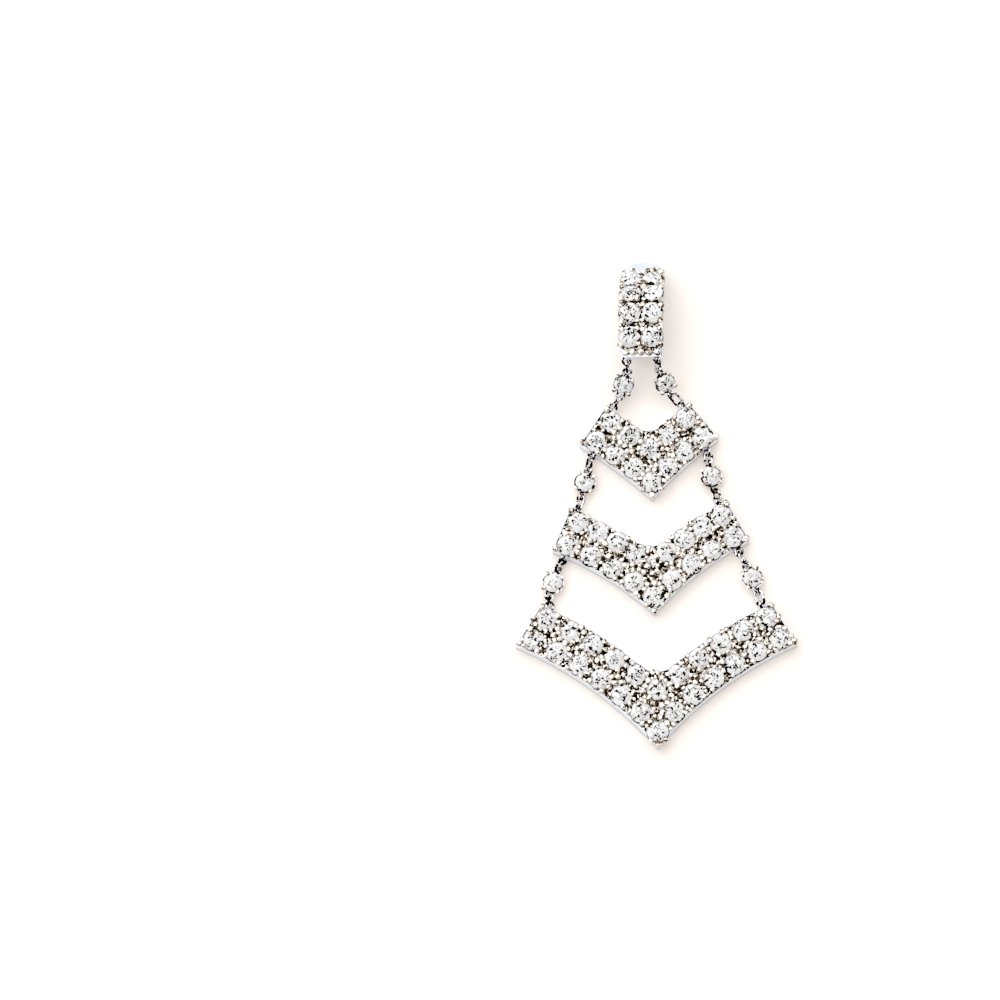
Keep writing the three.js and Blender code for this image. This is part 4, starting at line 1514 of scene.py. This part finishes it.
def floor_finish():
    material, tree, shader = new_material("white_table")
    tint = ramp_node(tree, FLOOR_TONES)
    noise = object_noise(tree, FLOOR["noise_scale"], FLOOR["noise_detail"])
    tree.links.new(noise, tint.inputs["Fac"])
    tree.links.new(tint.outputs["Color"], shader.inputs["Base Color"])
    shader.inputs["Roughness"].default_value = FLOOR["roughness"]
    shader.inputs["Specular IOR Level"].default_value = FLOOR["specular"]
    shader.inputs["Emission Color"].default_value = GLOW_COLOUR
    shader.inputs["Emission Strength"].default_value = GLOW_STRENGTH
    return material


half = FLOOR["size"] / 2
floor_mesh = bpy.data.meshes.new("table")
corners = [(-half, -half), (half, -half), (half, half), (-half, half)]
floor_mesh.from_pydata([(x, y, -FLOOR["gap"] * METRES) for x, y in corners], [], [(0, 1, 2, 3)])
floor_mesh.materials.append(floor_finish())
floor = in_scene("table", floor_mesh)
floor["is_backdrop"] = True

# %% [markdown]
# ## The light
#
# Jewellery is lit by a big soft light, but a mirror lit from everywhere shows nothing. Photographers
# therefore leave dark gaps between their white cards, and those gaps draw the black lines in polished
# metal and stones. The world here is a room with a white ceiling, pale sides, a band of dark cards just
# above the table and a few dark patches overhead, made from a noise on the direction. All that is only
# there to be mirrored: the camera itself sees a plain pale background. One soft light from the upper
# left gives the shade on the right.

# %% The room
ROOM_TOP = (1.0, 0.99, 0.98)
ROOM_SIDES = (0.57, 0.61, 0.68)
ROOM_DARK = (0.01, 0.008, 0.006)
ROOM_STRENGTH = 1.8
PATCHES = {"scale": 3.2, "edge": (0.44, 0.47), "above": (0.62, 0.72)}
BAND = {"low": (0.04, 0.1), "high": (0.5, 0.6), "scale": 2.2, "edge": (0.38, 0.42)}
DARK_SIDE = (0.16, -0.18, 0.0)
CEILING = (0.35, 0.75)
CARD_DETAIL = 2


def light_the_room():
    world = bpy.data.worlds.new("room")
    bpy.context.scene.world = world
    world.use_nodes = True
    tree = world.node_tree
    link = tree.links.new
    background = tree.nodes["Background"]
    where = add_node(tree, "ShaderNodeTexCoord")
    split = add_node(tree, "ShaderNodeSeparateXYZ")
    link(where.outputs["Generated"], split.inputs["Vector"])

    def step(value, low, high):
        node = add_node(tree, "ShaderNodeMapRange")
        node.inputs["From Min"].default_value = low
        node.inputs["From Max"].default_value = high
        link(value, node.inputs["Value"])
        return node.outputs["Result"]

    def sums(operation, first, second):
        node = add_node(tree, "ShaderNodeMath", operation=operation)
        for socket, value in zip(node.inputs, (first, second)):
            if isinstance(value, (int, float)):
                socket.default_value = value
            else:
                link(value, socket)
        return node.outputs["Value"]

    def cloud(scale):
        node = add_node(tree, "ShaderNodeTexNoise")
        node.inputs["Scale"].default_value = scale
        node.inputs["Detail"].default_value = CARD_DETAIL
        link(where.outputs["Generated"], node.inputs["Vector"])
        return node.outputs["Fac"]

    toward = add_node(tree, "ShaderNodeVectorMath", operation="DOT_PRODUCT")
    toward.inputs[1].default_value = DARK_SIDE
    link(where.outputs["Generated"], toward.inputs[0])
    side = toward.outputs["Value"]
    height = split.outputs["Z"]
    # Dark cards stand in a band just above the table, more of them on the right and in front.
    ring = sums("MULTIPLY", step(height, *BAND["low"]),
                sums("SUBTRACT", 1, step(height, *BAND["high"])))
    cards = step(sums("ADD", cloud(BAND["scale"]), side), *BAND["edge"])
    low_dark = sums("MULTIPLY", ring, cards)
    # Overhead, smaller dark patches break up the soft white ceiling.
    open_sky = step(sums("SUBTRACT", cloud(PATCHES["scale"]), side), *PATCHES["edge"])
    high_dark = sums("MULTIPLY", step(height, *PATCHES["above"]), sums("SUBTRACT", 1, open_sky))
    mix = add_node(tree, "ShaderNodeMix", data_type="RGBA")
    pale = add_node(tree, "ShaderNodeMix", data_type="RGBA")
    pale.inputs["A"].default_value = (*ROOM_SIDES, 1)
    pale.inputs["B"].default_value = (*ROOM_TOP, 1)
    link(step(height, *CEILING), pale.inputs["Factor"])
    link(pale.outputs["Result"], mix.inputs["A"])
    mix.inputs["B"].default_value = (*ROOM_DARK, 1)
    link(sums("MAXIMUM", low_dark, high_dark), mix.inputs["Factor"])
    # What the camera sees directly is the plain colour of the ceiling.
    seen = add_node(tree, "ShaderNodeLightPath")
    plain = add_node(tree, "ShaderNodeMix", data_type="RGBA")
    plain.inputs["B"].default_value = (*ROOM_TOP, 1)
    link(seen.outputs["Is Camera Ray"], plain.inputs["Factor"])
    link(mix.outputs["Result"], plain.inputs["A"])
    link(plain.outputs["Result"], background.inputs["Color"])
    background.inputs["Strength"].default_value = ROOM_STRENGTH


light_the_room()

# %% The soft light
KEY = {
    "direction": (-0.16, 0.2, 1), "distance": 0.6, "size": 0.6, "power": 0.8,
    "colour": (0.97, 0.98, 1.0),
}


def soft_light(name, direction, distance, size, power, colour):
    data = bpy.data.lights.new(name, "AREA")
    data.shape = "SQUARE"
    data.size = size
    data.energy = power
    data.color = colour
    light = in_scene(name, data)
    light.location = Vector(direction).normalized() * distance
    light.rotation_euler = (-light.location).to_track_quat("-Z", "Y").to_euler()


soft_light("key", **KEY)

# %% [markdown]
# ## The camera
#
# The photograph looks down steeply, from 11 or 12 degrees off the vertical, and the earring fills only
# the right half of its frame. A long lens from far away keeps parallel edges parallel, as they are
# there. The frame is 90 mm wide on the table, and the earring's middle stands at a known place in it.

# %% The camera and the frame
ELEVATION = 78.5
FRAME_WIDTH = 90
FRAME_PIXELS = 1000
EARRING_AT = (655.3, 506.5)
LENS = 300
SENSOR = 36
NEAREST = 0.01
FARTHEST = 20


def place_camera():
    data = bpy.data.cameras.new("camera")
    data.lens = LENS
    data.sensor_width = SENSOR
    data.clip_start = NEAREST
    data.clip_end = FARTHEST
    camera = in_scene("camera", data)
    elevation = math.radians(ELEVATION)
    back = Vector((0, -math.cos(elevation), math.sin(elevation)))
    pixel = FRAME_WIDTH / FRAME_PIXELS
    aim_left = (EARRING_AT[0] - FRAME_PIXELS / 2) * pixel
    aim_up = (EARRING_AT[1] - FRAME_PIXELS / 2) * pixel
    image_up = Vector((0, math.sin(elevation), math.cos(elevation)))
    aim = (image_up * aim_up - ACROSS * aim_left) * METRES
    distance = FRAME_WIDTH * METRES * LENS / SENSOR
    camera.location = aim + back * distance
    camera.rotation_euler = back.to_track_quat("Z", "Y").to_euler()
    bpy.context.scene.camera = camera


place_camera()

# %% [markdown]
# ## Developing the picture
#
# The photograph is crisp: its shadows are nearly black, and the tones just above the middle are lifted.
# A curve on the whole picture does the same. Each pair below is a brightness before and after, where 1
# is white.

# %% The contrast curve
CONTRAST = [
    (0.021, 0.007), (0.07, 0.034), (0.171, 0.171), (0.305, 0.376), (0.456, 0.527), (0.645, 0.679),
    (0.871, 0.871),
]
WHOLE_PICTURE = 3
developing = bpy.context.scene.view_settings
developing.view_transform = "Standard"
developing.use_curve_mapping = True
contrast_curve = developing.curve_mapping.curves[WHOLE_PICTURE]
for before, after in CONTRAST:
    contrast_curve.points.new(before, after)
developing.curve_mapping.update()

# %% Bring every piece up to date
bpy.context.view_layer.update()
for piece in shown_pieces():
    piece.data.calc_loop_triangles()
